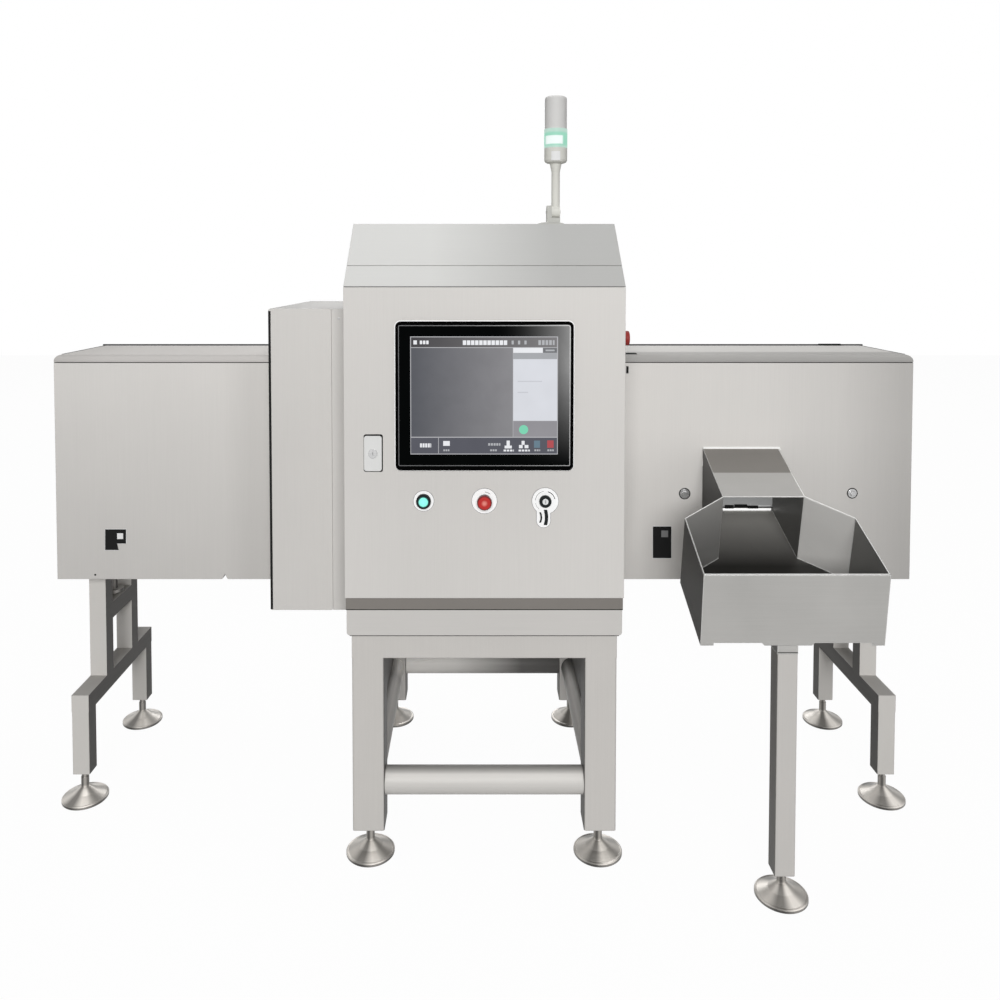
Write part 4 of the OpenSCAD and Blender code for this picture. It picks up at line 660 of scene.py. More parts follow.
def sight(px, py):
    """The direction of a pixel of the photograph from the camera"""
    across = (px - PRINCIPAL_PX[0]) / FOCAL_PX
    down = (py - PRINCIPAL_PX[1]) / FOCAL_PX
    forward = math.cos(PITCH) - down * math.sin(PITCH)
    rise = -math.sin(PITCH) - down * math.cos(PITCH)
    return Vector((across, forward, rise))


def on_face(px, py, y):
    """The place at depth y that shows at a pixel of the photograph"""
    ray = sight(px, py)
    t = (y - EYE[1]) / ray.y
    return EYE[0] + ray.x * t, EYE[2] + ray.z * t


# The lit picture on the touch panel: plain fields and small marks
SCREEN_FACE = SCREEN_LOW.y
PICTURE_Y = SCREEN_FACE - 0.25 * MM
PICTURE_ROW = 400
field_border = glowing("field_border", (0.44, 0.44, 0.46))
field_bar = glowing("field_bar", (0.090, 0.092, 0.112))
field_light = glowing("field_light", (0.655, 0.670, 0.715))
field_strip = glowing("field_strip", (0.36, 0.37, 0.39))
field_status = glowing("field_status", (0.275, 0.27, 0.29))
field_white = glowing("field_white", (0.78, 0.79, 0.82))
field_mark = glowing("field_mark", (0.42, 0.43, 0.45))
field_green = glowing("field_green", (0.20, 0.63, 0.43))
field_red = glowing("field_red", (0.42, 0.075, 0.085))
field_blue = glowing("field_blue", (0.13, 0.20, 0.25))
field_line = glowing("field_line", (0.55, 0.56, 0.60))
field_dark = glowing("field_dark", (0.16, 0.165, 0.175))


def ramp_field(name, left_px, right_px, left_tone, right_tone):
    """A lit field that gets lighter to the right"""
    material, nodes, shader, coords = new_material(name)
    ends = [on_face(px, PICTURE_ROW, PICTURE_Y)[0] for px in (left_px, right_px)]
    ramp = nodes.rise(nodes.split(coords)["X"], *ends)
    cloud = nodes.vary(nodes.noise(coords, 30.0), 0.97, 1.02)
    tone = nodes.shade(nodes.blend(ramp, left_tone, right_tone), cloud)
    nodes.fill(shader, Base_Color=nodes.shade(tone, nodes.spread(cloud, 0.97, 1.02, 0.05, 0.06)),
               Emission_Color=tone, Emission_Strength=1.0, Specular_IOR_Level=FIELD_SHEEN,
               Roughness=nodes.spread(cloud, 0.97, 1.02, 0.30, 0.36))
    return material


def between(corners, y):
    """The places at depth y of the left top and right bottom corners given in pixels"""
    return on_face(*corners[:2], y), on_face(*corners[2:], y)


def screen_field(name, corners, material, layer):
    """A flat field between two pixels of the photograph, a hair in front of the glass"""
    (x0, z1), (x1, z0) = between(corners, PICTURE_Y)
    strip(name, (x0, SCREEN_FACE - (0.1 + 0.1 * layer) * MM, z0), (x1, SCREEN_FACE + 0.2 * MM, z1),
          material, "door")


field_header = ramp_field("field_header", 411, 557, (0.050, 0.048, 0.052), (0.19, 0.185, 0.19))
field_scan = ramp_field("field_scan", 411, 513, (0.086, 0.090, 0.104), (0.235, 0.232, 0.244))
FIELDS = [
    ("screen_border", (410.2, 336.5, 557.7, 454.4), field_border, 0),
    ("screen_header", (411.0, 337.3, 557.0, 347.2), field_header, 1),
    ("screen_scan", (411.0, 347.9, 512.8, 436.8), field_scan, 1),
    ("screen_strip", (513.3, 353.0, 557.0, 359.0), field_strip, 1),
    ("screen_list", (513.3, 359.2, 557.0, 420.8), field_light, 1),
    ("screen_status", (513.3, 421.0, 557.0, 436.8), field_status, 1),
    ("screen_bar", (411.0, 437.7, 557.0, 453.6), field_bar, 1),
    ("screen_entry", (513.3, 347.9, 542.8, 352.8), field_white, 1),
    ("screen_entry_end", (543.0, 347.9, 557.0, 352.8), field_dark, 1),
    ("screen_bar_line", (438.2, 437.9, 438.8, 453.4), field_border, 2),
]
for field in FIELDS:
    screen_field(*field)


def screen_marks(name, marks, material):
    """Small plain marks on the lit picture"""
    bm = bmesh.new()
    for corners in marks:
        (x0, z1), (x1, z0) = between(corners, PICTURE_Y)
        add_block(bm, (x0, SCREEN_FACE - 0.4 * MM, z0), (x1, SCREEN_FACE, z1))
    return from_bmesh(name, bm, material, "door")


def mark_row(left, right, top, bottom, width, gap):
    """A row of narrow marks with even gaps"""
    marks = []
    at = left
    while at < right:
        marks.append((at, top, min(at + width, right), bottom))
        at += width + gap
    return marks


screen_marks("screen_marks_white", [
    (413.4, 340.4, 416.9, 344.4), (443.2, 441.0, 449.8, 445.8), (506.6, 440.6, 509.8, 446.6),
    (504.6, 445.6, 511.8, 448.4), (521.6, 440.8, 524.6, 444.8), (519.0, 445.0, 522.6, 448.2),
    (524.6, 445.0, 528.4, 448.2)] + mark_row(462.8, 507.2, 340.4, 345.0, 3.4, 0.7)
    + mark_row(419.8, 428.8, 340.6, 344.2, 2.4, 0.8) + mark_row(420.0, 431.2, 443.4, 447.4, 2.0, 0.6)
    + mark_row(503.6, 513.8, 449.6, 451.4, 2.4, 0.8) + mark_row(518.6, 529.8, 449.6, 451.4, 2.4, 0.8),
    field_white)
screen_marks("screen_marks_grey", [
    (545.6, 349.6, 554.6, 351.2)]
    + mark_row(511.6, 527.4, 340.6, 344.4, 2.2, 4.2) + mark_row(538.4, 554.6, 340.2, 345.0, 2.6, 1.0)
    + mark_row(443.4, 449.4, 449.4, 451.2, 1.6, 0.6) + mark_row(488.2, 500.4, 443.2, 445.6, 2.0, 0.7)
    + mark_row(490.2, 497.0, 449.4, 451.2, 1.8, 0.6) + mark_row(534.4, 540.2, 449.4, 451.2, 1.8, 0.6)
    + mark_row(547.4, 553.8, 449.4, 451.2, 1.8, 0.6), field_mark)
screen_marks("screen_list_lines", [(517.6, 380.8, 542.0, 382.0), (517.6, 391.8, 528.0, 393.0)],
             field_line)
screen_marks("screen_mark_red", [(547.2, 440.4, 553.6, 447.8)], field_red)
screen_marks("screen_mark_blue", [(534.0, 440.6, 540.0, 447.8)], field_blue)

GREEN_DOT_PX = (523.6, 429.6)
GREEN_DOT_R = 10.6 * MM
dot = bmesh.new()
add_disc(dot, *on_face(*GREEN_DOT_PX, PICTURE_Y), GREEN_DOT_R, SCREEN_FACE, SCREEN_FACE - 0.35 * MM)
from_bmesh("screen_green_dot", dot, field_green, "door")


def glass_line():
    """A line inside the edge of the glass as a painted highlight, brighter towards the upper right as a
    painted reflection
    """
    material, nodes, shader, coords = new_material("rim_line")
    place = nodes.split(coords)
    # painted reflection: brighter towards the right and the top
    glint = nodes.times(nodes.math("POWER", nodes.rise(place["X"], SCREEN_LOW.x, SCREEN_HIGH.x), 2.5),
                        nodes.spread(place["Z"], SCREEN_LOW.z, SCREEN_HIGH.z, 0.45, 1.0))
    fine = nodes.noise(coords, 400.0)
    nodes.fill(shader, Roughness=nodes.vary(fine, 0.3, 0.4),
               Base_Color=nodes.shade(nodes.blend(glint, (0.11, 0.11, 0.115), grey(0.80)),
                                      nodes.vary(fine, 0.92, 1.05)))
    return material


def frame_line(low, high, inset, radius):
    """A rounded outline inside a box's front, or outside it where inset is less than zero"""
    return rounded(low[0] + inset, high[0] - inset, low[1] + inset, high[1] - inset, radius)


GLASS_LINE_PX = (398.1, 325.3, 570.0, 466.0)
(line_x0, line_z1), (line_x1, line_z0) = between(GLASS_LINE_PX, SCREEN_FACE)
line_low, line_high = (line_x0, line_z0), (line_x1, line_z1)
plate("glass_rim", frame_line(line_low, line_high, 0.0, 3 * MM), SCREEN_FACE + 0.1 * MM,
      SCREEN_FACE - 0.2 * MM, glass_line(), hole=frame_line(line_low, line_high, 1.6 * MM, 2 * MM))

# A pale ring that just shows round the panel's bezel, a painted highlight along the edge there, with a
# faint glow as painted light
BEZEL_LOW, BEZEL_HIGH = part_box("hmi_panel")
BEZEL_ROUND = 12 * MM


def round_frame(grow):
    return frame_line((BEZEL_LOW.x, BEZEL_LOW.z), (BEZEL_HIGH.x, BEZEL_HIGH.z), -grow, BEZEL_ROUND + grow)


plate("bezel_highlight_ring", round_frame(2.6 * MM), DOOR_FACE, DOOR_FACE - 0.7 * MM, glowing_white,
      hole=round_frame(-0.4 * MM))

# A black ring round the lock's plate as painted shadow, wider at the top and right where the plate's shadow
# falls
plate("lock_plate_shadow", rounded(LOCK_LOW.x - 1.0 * MM, LOCK_HIGH.x + 2.4 * MM, LOCK_LOW.z - 2.0 * MM,
                          LOCK_HIGH.z + 3.4 * MM, 5 * MM), DOOR_FACE, DOOR_FACE - 0.9 * MM, black_trim_and_shadow,
      hole=frame_line((LOCK_LOW.x, LOCK_LOW.z), (LOCK_HIGH.x, LOCK_HIGH.z), 0.6 * MM, 4 * MM))


# Printed arcs on the legend discs, round the red button and the key switch
def printed_arcs(name, middle, arcs, material):
    bm = bmesh.new()
    for radius, width, start, end in arcs:
        add_arc(bm, middle[0], middle[1], radius * MM, width * MM, start, end, DISCS_LOW.y + 0.1 * MM,
                DISCS_LOW.y - 0.15 * MM)
    return from_bmesh(name, bm, material, "door")


printed_arcs("key_dial_dark", KEY_MIDDLE, [(22.6, 1.7, 12, 74)], black_trim_and_shadow)
printed_arcs("key_dial_grey", KEY_MIDDLE, [(23.0, 1.0, 98, 176), (23.2, 0.8, 192, 232)], mark_grey)
printed_arcs("red_legend_mark", RED_MIDDLE, [(21.0, 1.3, 50, 88)], mark_grey)


# A thin grey ring as painted shade round the edge of the legend discs, and of the tab that the keys hang on
TAB_HALF, TAB_SHIFT, TAB_DROP = 16 * MM, 3.8 * MM, 46 * MM


def legend_outline(x, z, radius, tab, grow):
    """A circle, with the tab below it when there is one"""
    reach = radius + grow
    if not tab:
        return circle(x, z, reach, 48)
    half = TAB_HALF + grow
    right, left = -TAB_SHIFT + half, -TAB_SHIFT - half
    start = math.atan2(-math.sqrt(reach ** 2 - right ** 2), right)
    end = math.atan2(-math.sqrt(reach ** 2 - left ** 2), left) + 2 * math.pi
    return (on_circle(x, z, reach, even(start, end, 41))
            + on_circle(x - TAB_SHIFT, z - TAB_DROP, -half, even(0, math.pi, 21)))


legend_edge_shade = moulded("legend_edge_painted_shade", grey(0.30), 0.5, sheen=0.05)
disc_z = DISCS_HIGH.z - 30.5 * MM
legend_edges = bmesh.new()
for disc_x, disc_r, tab in ((-141 * MM, 23.5 * MM, False), (0.0, 29 * MM, False),
                            (141 * MM, 30.5 * MM, True)):
    add_plate(legend_edges, legend_outline(disc_x, disc_z, disc_r, tab, 1.0 * MM), DOOR_FACE,
              DOOR_FACE - 0.6 * MM, legend_outline(disc_x, disc_z, disc_r, tab, -0.3 * MM))
from_bmesh("legend_edges", legend_edges, legend_edge_shade, "door")


# Small black plates with pale marks on the covers, each layer a little further out
COVER_FACE = COVER_IN_LOW.y
HIGHLIGHT_RIM = 1.6 * MM
HIGHLIGHT_FRONT, PLATE_BACK, PLATE_FRONT, MARK_BACK, MARK_FRONT = (
    COVER_FACE - depth * MM for depth in (0.4, 0.3, 1.2, 1.0, 1.5))
INFEED_PLATE_PX = [(105.3, 529.3), (126.1, 529.3), (126.1, 543.4), (117.2, 543.4), (118.8, 549.9),
                   (105.3, 549.9)]
INFEED_MARK_PX = (117.3, 533.1, 123.4, 538.9)
OUTFEED_PLATE_PX = [(652.8, 526.4), (671.2, 526.4), (671.2, 558.0), (652.8, 558.0)]
OUTFEED_MARK_PX = (661.2, 530.4, 668.0, 537.0)


def cover_plate(name, outline_px, mark_px, material):
    """A black plate with one pale mark, and a pale rim round it as a painted highlight along the plate's
    edge: the places are pixels of the photograph
    """
    outline = [on_face(px, py, COVER_FACE) for px, py in outline_px]
    middle = Vector([sum(place[i] for place in outline) / len(outline) for i in (0, 1)])
    highlight_outline = []
    for place in outline:
        out = (Vector(place) - middle).normalized() * HIGHLIGHT_RIM
        highlight_outline.append((place[0] + out.x, place[1] + out.y))
    plate(name + "_rim_highlight", highlight_outline, COVER_FACE, HIGHLIGHT_FRONT, mark_and_highlight_white, "machine")
    plate(name, outline, PLATE_BACK, PLATE_FRONT, black_trim_and_shadow, "machine")
    (x0, z1), (x1, z0) = between(mark_px, COVER_FACE)
    strip(name + "_mark", (x0, MARK_FRONT, z0), (x1, MARK_BACK, z1), material)


cover_plate("infeed_plate", INFEED_PLATE_PX, INFEED_MARK_PX, mark_and_highlight_white)
cover_plate("outfeed_plate", OUTFEED_PLATE_PX, OUTFEED_MARK_PX, mark_grey)

# Round bolts on the outfeed cover
BOLTS = (("cover_bolt_left", (684.6, 493.6), 13 * MM), ("cover_bolt_right", (852.2, 493.2), 12 * MM))
SOCKET_SHARE, WASHER_BORE_SHARE = 0.62, 0.9
WASHER_RIM = 2.2 * MM


def round_bolt(name, place_px, radius):
    """A round bolt with its socket and dark washer"""
    face = COVER_OUT_LOW.y
    x, z = on_face(*place_px, face)
    bm = bmesh.new()
    add_disc(bm, x, z, radius, face, face - 2.0 * MM, 32, 0.8 * MM)
    add_disc(bm, x, z, radius * SOCKET_SHARE, face - 1.6 * MM, face - 7.0 * MM, 6, 1.0 * MM)
    plate(name + "_washer", circle(x, z, radius + WASHER_RIM), face, face - 0.8 * MM, black_trim_and_shadow,
          "machine", circle(x, z, radius * WASHER_BORE_SHARE))
    from_bmesh(name, bm, bright_steel, "machine")


for bolt in BOLTS:
    round_bolt(*bolt)

# Thin parts along the seams: black strips stand for painted shadow lines at the sill, below the tray, under
# the lids' front edges and along the side box
# A grey strip in the gap under the door, its grey a painted shade of the set-back sill, and a black strip
# as a painted shadow line along its foot
strip("plinth_strip", (DOOR_LOW.x + 1 * MM, DOOR_FACE + 6 * MM, TRAY_HIGH.z),
      (DOOR_HIGH.x - 1 * MM, SHELL_LOW.y, DOOR_LOW.z - 1.5 * MM), sill_shade,
      bevel=1.0 * MM)
strip("plinth_shadow_line", (DOOR_LOW.x + 1.5 * MM, DOOR_FACE + 5.2 * MM, TRAY_HIGH.z),
      (DOOR_HIGH.x - 1.5 * MM, SHELL_LOW.y, TRAY_HIGH.z + 1.6 * MM), black_trim_and_shadow)
# a black strip as a painted shadow line below the tray
strip("tray_shadow_line", (FRAME_LOW.x - 4 * MM, TRAY_LOW.y + 0.8 * MM, TRAY_LOW.z - 1.8 * MM),
      (FRAME_HIGH.x + 4 * MM, FRAME_LOW.y + 0.2 * MM, TRAY_LOW.z + 0.2 * MM), black_trim_and_shadow)
# black strips as painted shadow lines under the lids' front edges
strip("infeed_lid_shadow_line", (LID_IN_LOW.x + 2 * MM, COVER_FACE - 0.25 * MM, LID_IN_LOW.z - 2.0 * MM),
      (LID_IN_HIGH.x - 1 * MM, COVER_FACE + 1 * MM, LID_IN_LOW.z - 0.2 * MM), black_trim_and_shadow)
strip("outfeed_lid_shadow_line", (LID_OUT_LOW.x, COVER_FACE - 0.25 * MM, LID_OUT_LOW.z - 2.0 * MM),
      (LID_OUT_HIGH.x - 2 * MM, COVER_FACE + 1 * MM, LID_OUT_LOW.z - 0.2 * MM), black_trim_and_shadow)
# a thin dark strip along each lid's rear top edge, and a grey strip near one end of each lid
for lid, low, high, end_x in (("infeed_lid", LID_IN_LOW, LID_IN_HIGH, LID_IN_LOW.x + 11 * MM),
                              ("outfeed_lid", LID_OUT_LOW, LID_OUT_HIGH, LID_OUT_HIGH.x - 14 * MM)):
    strip(lid + "_rear_dark_strip", (low.x + 4 * MM, high.y - 5 * MM, high.z - 0.5 * MM),
          (high.x - 4 * MM, high.y, high.z + 3.4 * MM), black_trim_and_shadow, lid)
    strip(lid + "_end_trim", (end_x, low.y + 22 * MM, high.z - 0.6 * MM),
          (end_x + 3 * MM, high.y - 5 * MM, high.z + 0.6 * MM), joint_grey, lid)
CATCH_LEFT, CATCH_RIGHT, SHADOW_WEDGE_RIGHT = 1.000, 1.065, 0.408
strip("outfeed_lid_catch", (CATCH_LEFT, LID_OUT_HIGH.y - 9 * MM, LID_OUT_HIGH.z - 0.5 * MM),
      (CATCH_RIGHT, LID_OUT_HIGH.y - 1 * MM, LID_OUT_HIGH.z + 5 * MM), black_trim_and_shadow, "outfeed_lid",
      bevel=1.0 * MM)
# a black wedge as painted shadow at the outfeed lid's end near the cabinet
strip("outfeed_lid_shadow_wedge", (LID_OUT_LOW.x + 3 * MM, LID_OUT_LOW.y + 18 * MM, LID_OUT_HIGH.z - 0.5 * MM),
      (SHADOW_WEDGE_RIGHT, LID_OUT_LOW.y + 34 * MM, LID_OUT_HIGH.z + 3.2 * MM), black_trim_and_shadow, "outfeed_lid",
      bevel=0.4 * MM)
# a black strip as a painted shadow line along the side box's left edge
strip("box_edge_shadow_line", (BOX_LOW.x, BOX_COVER_LOW.y - 0.7 * MM, BOX_LOW.z + 2 * MM),
      (BOX_LOW.x + 6.0 * MM, BOX_COVER_LOW.y + 0.2 * MM, BOX_HIGH.z - 5 * MM), black_trim_and_shadow,
      bevel=0.2 * MM)
strip("door_top_joint", (DOOR_LOW.x + 1 * MM, DOOR_FACE - 0.1 * MM, DOOR_HIGH.z + 0.4 * MM),
      (DOOR_HIGH.x - 1 * MM, DOOR_FACE + 2 * MM, DOOR_HIGH.z + 1.9 * MM), joint_grey)
strip("roof_joint", (DOOR_LOW.x + 1 * MM, STRIP_HIGH.y - 2.2 * MM, STRIP_HIGH.z - 1.6 * MM),
      (DOOR_HIGH.x - 1 * MM, STRIP_HIGH.y + 0.6 * MM, STRIP_HIGH.z + 0.2 * MM), joint_grey)


# Bright bars along the chute's folded corners, as painted highlights on its edges
def chute_corner(px, py):
    """The chute's corner nearest to a pixel of the photograph"""
    best = None
    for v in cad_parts["chute"].data.vertices:
        ahead = v.co - Vector(EYE)
        deep = ahead.y * math.cos(PITCH) - ahead.z * math.sin(PITCH)
        rise = ahead.y * math.sin(PITCH) + ahead.z * math.cos(PITCH)
        miss = math.hypot(PRINCIPAL_PX[0] + FOCAL_PX * ahead.x / deep - px,
                          PRINCIPAL_PX[1] - FOCAL_PX * rise / deep - py)
        key = (round(miss, 1), deep)
        if best is None or key < best[0]:
            best = (key, v.co.copy())
    return best[1]


CORNER_PX = {
    "hood_back": (778.8, 448.0), "hood_front": (804.6, 496.6), "hood_left": (724.5, 496.6),
    "flare_right": (856.0, 518.5), "flare_left": (687.3, 518.2), "bin_right": (890.0, 573.0),
    "bin_left": (705.6, 573.4), "bin_foot": (702.6, 643.0)}
corner = {name: chute_corner(*place_px) for name, place_px in CORNER_PX.items()}
fold = corner["hood_back"] - corner["hood_front"]
corner["cover"] = corner["hood_front"] + fold * ((COVER_FACE - 1 * MM - corner["hood_front"].y) / fold.y)
INWARD = Vector((0, 1.2 * MM, 0.3 * MM))
bars = bmesh.new()
for start, end, radius in (("cover", "hood_front", 1.2), ("hood_front", "hood_left", 0.6),
                           ("hood_front", "flare_right", 1.0), ("hood_left", "flare_left", 0.9),
                           ("flare_right", "bin_right", 1.0), ("bin_right", "bin_left", 1.0),
                           ("bin_left", "flare_left", 0.6), ("bin_left", "bin_foot", 0.7)):
    add_bar(bars, corner[start] + INWARD, corner[end] + INWARD, radius * MM)
from_bmesh("chute_edges", bars, edge_highlight_white, "machine")
# a bright strip where the hood meets the cover, as a painted highlight on that edge
SEAT_PX = ((703.4, 446.9), (779.6, 446.9), (781.4, 450.6), (778.6, 448.9), (705.4, 448.9), (703.2, 466.0),
           (702.4, 466.0))
plate("hood_top_edge_highlight", [on_face(px, py, COVER_FACE) for px, py in SEAT_PX], COVER_FACE,
      COVER_FACE - 0.8 * MM, edge_highlight_white, "machine")

# The joint of the sleeve on the chute's leg
SLEEVE_PX = (787.0, 652.6)
sleeve_z = on_face(*SLEEVE_PX, LEG_LOW.y)[1]
strip("leg_sleeve_joint", (LEG_LOW.x + 0.5 * MM, LEG_LOW.y - 0.4 * MM, sleeve_z - 1.2 * MM),
      (LEG_HIGH.x - 0.5 * MM, LEG_LOW.y + 2 * MM, sleeve_z + 1.2 * MM), joint_grey)

# The belt's edge, made bright by a glow that is painted light, and the black guide pieces on it, seen
# through the hood
BELT_EDGE_Y = 46 * MM


def belt_piece(name, corners, material, thick):
    (x0, z1), (x1, z0) = between(corners, BELT_EDGE_Y)
    strip(name, (x0, BELT_EDGE_Y - thick, z0), (x1, BELT_EDGE_Y + 3 * MM, z1), material)


belt_edge_white = moulded("belt_edge_white", (0.90, 0.90, 0.89), 0.5, glow=0.7)
belt_piece("belt_edge", (723.0, 508.4, 771.0, 510.4), belt_edge_white, 0.5 * MM)
belt_piece("belt_guide_left", (725.0, 505.2, 733.5, 508.4), black_trim_and_shadow, 2 * MM)
belt_piece("belt_guide_middle", (734.6, 504.6, 747.0, 507.4), black_trim_and_shadow, 2 * MM)
belt_piece("belt_guide_right", (747.6, 505.8, 758.0, 508.4), black_trim_and_shadow, 2 * MM)

# A short black latch beside the cabinet, and the drain hole plug of the infeed cover
LATCH_PX = (626.3, 366.2, 628.3, 373.2)
PLUG_PX = (95.3, 574.8)
(latch_x0, latch_z1), (latch_x1, latch_z0) = between(LATCH_PX, COVER_FACE)
strip("cover_latch", (latch_x0, COVER_FACE - 5 * MM, latch_z0), (latch_x1, COVER_FACE, latch_z1),
      black_trim_and_shadow, bevel=1.0 * MM)
plug = bmesh.new()
add_disc(plug, *on_face(*PLUG_PX, COVER_FACE), 2.6 * MM, COVER_FACE, COVER_FACE - 1.0 * MM, 20, 0.4 * MM)
from_bmesh("cover_plug", plug, black_trim_and_shadow, "machine")

# Stop button: a flat mushroom on a short stem, as (mm along it, share of its radius)
stop_middle = ((STOP_LOW.y + STOP_HIGH.y) / 2, (STOP_LOW.z + STOP_HIGH.z) / 2)
stop_r = (STOP_HIGH.z - STOP_LOW.z) / 2
stop_profile = [(STOP_LOW.x + along * MM, share * stop_r) for along, share in
                ((0, 0.5), (19, 0.5), (20.5, 0.82), (23, 0.93))]
stop_profile += [(STOP_HIGH.x - back * MM, share * stop_r) for back, share in
                 ((7, 0.93), (5, 0.90), (4, 0.82), (3.6, 0.4), (4, 0.1))]
stop = bmesh.new()
add_turned(stop, stop_profile, stop_middle)
stop_head = from_bmesh("stop_mushroom", stop, red_plastic, "stop_button")
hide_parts("estop_button")

# A pale patch on the tower's base, bent round it
pole_x, pole_y = (POLE_LOW.x + POLE_HIGH.x) / 2, (POLE_LOW.y + POLE_HIGH.y) / 2
base_r = (POLE_HIGH.x - POLE_LOW.x) / 2
PATCH_PX = ((556, 160.2), (556, 151.0))
patch_low, patch_high = (on_face(*place_px, POLE_LOW.y)[1] for place_px in PATCH_PX)
inner_r, outer_r = base_r - 0.3 * MM, base_r + 0.35 * MM
PATCH_ANGLES = range(-27, 20, 3)
patch = bmesh.new()
rows = []
for radius, z in ((inner_r, patch_low), (outer_r, patch_low), (outer_r, patch_high), (inner_r, patch_high)):
    rows.append([patch.verts.new((pole_x + radius * math.sin(math.radians(a)),
                                  pole_y - radius * math.cos(math.radians(a)), z))
                 for a in PATCH_ANGLES])
for first, second in zip(rows, rows[1:] + rows[:1]):
    for i in range(len(first) - 1):
        patch.faces.new((first[i], first[i + 1], second[i + 1], second[i]))
for end in (0, -1):
    patch.faces.new([row[end] for row in rows])
from_bmesh("tower_patch", patch, mark_and_highlight_white, "tower")

# Screw heads, made from a few points each: a recess takes shares of the head's radius and height
RECESS_WIDTH_SHARE, RECESS_DEPTH_SHARE, SEAT_SHARE = 0.52, 0.7, 0.4
HEAD_SIDES = 18


def screw_tree():
    """Geometry nodes: a socket-head screw on every point, turned to the face that it sits on"""
    tree = bpy.data.node_groups.new("screw_heads", "GeometryNodeTree")
    sockets = {}
    for label, kind in (("Geometry", "Geometry"), ("Head radius", "Float"), ("Head height", "Float"),
                        ("Finish", "Material")):
        made = tree.interface.new_socket(label, in_out="INPUT", socket_type="NodeSocket" + kind)
        sockets[label] = made.identifier
    tree.interface.new_socket("Geometry", in_out="OUTPUT", socket_type="NodeSocketGeometry")
    nodes = Nodes(tree)

    def add(kind, setting=None, **inputs):
        node = tree.nodes.new("GeometryNode" + kind)
        if setting:
            setattr(node, *setting)
        return nodes.fill(node, **inputs).outputs

    given = tree.nodes.new("NodeGroupInput").outputs
    deep = nodes.times(given["Head height"], -RECESS_DEPTH_SHARE)
    head = add("MeshCylinder", Vertices=HEAD_SIDES, Radius=given["Head radius"], Depth=given["Head height"])
    recess = add("ExtrudeMesh", ("mode", "FACES"), Mesh=head["Mesh"], Selection=head["Top"],
                 Offset_Scale=0.0)
    shrunk = add("ScaleElements", Geometry=recess["Mesh"], Selection=recess["Top"],
                 Scale=RECESS_WIDTH_SHARE)
    sunk = add("ExtrudeMesh", ("mode", "FACES"), Mesh=shrunk["Geometry"], Selection=recess["Top"],
               Offset_Scale=deep)
    facing = add("InputNamedAttribute", ("data_type", "FLOAT_VECTOR"), Name="facing")
    align = tree.nodes.new("FunctionNodeAlignRotationToVector")
    align.axis = "Z"
    nodes.fill(align, Vector=facing["Attribute"])
    heads = add("InstanceOnPoints", Points=given["Geometry"], Instance=sunk["Mesh"],
                Rotation=align.outputs[0])
    real = add("RealizeInstances", Geometry=heads["Instances"])
    finish = add("SetMaterial", Geometry=real["Geometry"], Material=given["Finish"])
    nodes.fill(tree.nodes.new("NodeGroupOutput"), Geometry=finish["Geometry"])
    return tree, sockets


SCREW_TREE, SCREW_SOCKETS = screw_tree()


def screws(name, places, radius, height):
    """places holds (point on the surface, direction that the surface faces)"""
    points = bpy.data.meshes.new(name + "_points")
    points.from_pydata([tuple(Vector(p) + Vector(d) * height * SEAT_SHARE) for p, d in places], [], [])
    facing = points.attributes.new("facing", "FLOAT_VECTOR", "POINT")
    for i, (_, direction) in enumerate(places):
        facing.data[i].vector = direction
    holder = new_object(name + "_points", points)
    modifier = holder.modifiers.new("screws", "NODES")
    modifier.node_group = SCREW_TREE
    for label, value in (("Head radius", radius), ("Head height", height), ("Finish", bright_steel)):
        modifier[SCREW_SOCKETS[label]] = value
    graph = bpy.context.evaluated_depsgraph_get()
    mesh = bpy.data.meshes.new_from_object(holder.evaluated_get(graph))
    bpy.data.objects.remove(holder)
    return carry(new_object(name, mesh), "machine")


def skin(node):
    """The surface of a node, for placing details on it"""
    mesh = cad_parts[node].data
    return BVHTree.FromPolygons([v.co.copy() for v in mesh.vertices],
                                [tuple(p.vertices) for p in mesh.polygons])


def on_wall(surface, start, direction):
    """The nearest place on a surface in a direction, and the way that it faces"""
    return surface.ray_cast(Vector(start), Vector(direction))[0], -Vector(direction)


# How far behind and beside the machine the search for its walls starts
BEHIND, BESIDE = 1.0, 2.0
REAR_INSET, COVER_INSET, PANEL_INSET = 14 * MM, 30 * MM, 20 * MM
CASING_SCREW = (5.0 * MM, 3.2 * MM)
BOX_SCREW = (2.6 * MM, 1.4 * MM)
BOX_SCREW_PX = (338.7, 318.4)
rear_skin, panel_skin = skin("rear_panel"), skin("base_side_panels")
rear_x = even(REAR_LOW.x + REAR_INSET, REAR_HIGH.x - REAR_INSET, 6)
rear_z = even(REAR_LOW.z + REAR_INSET, REAR_HIGH.z - REAR_INSET, 7)
behind = [(rear_skin, x, z) for z in rear_z for x in (rear_x[0], rear_x[-1])]
behind += [(rear_skin, x, z) for x in rear_x[1:-1] for z in (rear_z[0], rear_z[-1])]
cover_z = even(COVER_IN_LOW.z + COVER_INSET, COVER_IN_HIGH.z - 2 * COVER_INSET, 4)
cover_ends = ((skin("infeed_cover"), COVER_IN_LOW.x + COVER_INSET),
              (skin("outfeed_cover"), COVER_OUT_HIGH.x - COVER_INSET))
behind += [(surface, x, z) for z in cover_z for surface, x in cover_ends]
screw_places = [on_wall(surface, (x, BEHIND, z), (0, -1, 0)) for surface, x, z in behind]
for y in (PANELS_LOW.y + PANEL_INSET, PANELS_HIGH.y - PANEL_INSET):
    for z in even(PANELS_LOW.z + PANEL_INSET, PANELS_HIGH.z - PANEL_INSET, 3):
        screw_places += [on_wall(panel_skin, (side * BESIDE, y, z), (-side, 0, 0)) for side in (-1, 1)]
screws("casing_screws", [place for place in screw_places if place[0] is not None], *CASING_SCREW)
box_place = skin("side_box").ray_cast(Vector(EYE), sight(*BOX_SCREW_PX).normalized())[0]
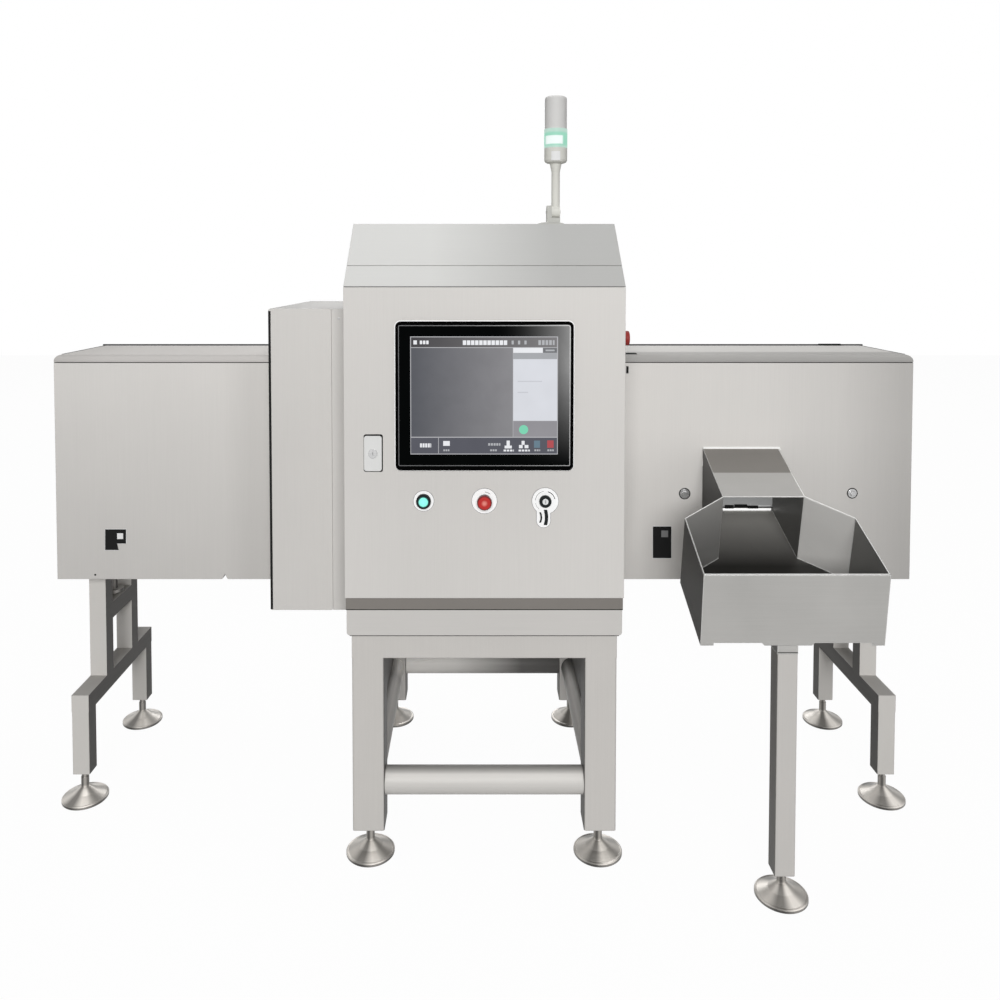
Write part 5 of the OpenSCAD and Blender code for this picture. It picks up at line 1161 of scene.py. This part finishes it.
if box_place is not None:
    screws("box_screw", [(box_place, (0, -1, 0))], *BOX_SCREW)

# Floor, light and surroundings
FLOOR_TONE = grey(0.32)
FLOOR_GLOW = 0.97
FLOOR_HALF = 12.0
AMBIENT = 0.12
WHITE = grey(1.0)


def looked_at(nodes):
    """1 for what the camera sees, also in a mirror or through glass, and 0 for light"""
    path = nodes.add("ShaderNodeLightPath").outputs
    return nodes.math("MAXIMUM", path["Is Camera Ray"],
                      nodes.math("MAXIMUM", path["Is Glossy Ray"], path["Is Transmission Ray"]))


def stage_floor():
    bm = bmesh.new()
    bm.faces.new([bm.verts.new((x * FLOOR_HALF, y * FLOOR_HALF, 0.0))
                  for x, y in ((-1, -1), (1, -1), (1, 1), (-1, 1))])
    mesh = bpy.data.meshes.new("floor")
    bm.to_mesh(mesh)
    bm.free()
    material, nodes, shader, coords = new_material("floor_white")
    cloud = nodes.vary(nodes.noise(coords, 3.0), 0.98, 1.0)
    seen = looked_at(nodes)
    nodes.fill(shader, Base_Color=nodes.shade(nodes.blend(seen, FLOOR_TONE, WHITE), cloud), Roughness=0.8)
    glow = nodes.add("ShaderNodeEmission", Color=WHITE, Strength=1.0)
    mix = nodes.add("ShaderNodeMixShader")
    mixed = (nodes.times(seen, FLOOR_GLOW), shader.outputs[0], glow.outputs[0])
    for socket, value in zip(mix.inputs, mixed):
        nodes.put(socket, value)
    nodes.fill(material.node_tree.nodes["Material Output"], Surface=mix.outputs[0])
    mesh.materials.append(material)
    return new_object("floor", mesh)


stage_floor()

world = bpy.data.worlds.new("studio")
bpy.context.scene.world = world
world.use_nodes = True
sky = Nodes(world.node_tree)
sky.fill(world.node_tree.nodes["Background"], Color=WHITE,
         Strength=sky.spread(looked_at(sky), 0.0, 1.0, AMBIENT, 1.0))


def soft_lamp(name, place, target, size, power):
    data = bpy.data.lights.new(name, "AREA")
    data.shape = "RECTANGLE"
    data.size, data.size_y = size
    data.energy = power
    obj = new_object(name, data)
    obj.location = place
    obj.rotation_euler = (Vector(target) - Vector(place)).to_track_quat("-Z", "Y").to_euler()


LAMPS = (("key_lamp", (0.0, -9.5, 4.0), (0, 0, 0.9), (5.0, 3.5), 700),
         ("back_lamp", (0.0, 9.0, 4.5), (0, 0, 0.9), (5.0, 3.5), 200),
         ("top_lamp", (0.0, 0.2, 4.2), (0, 0.2, 1.0), (2.8, 2.0), 36))
for lamp in LAMPS:
    soft_lamp(*lamp)

bpy.context.scene.view_settings.view_transform = "Standard"
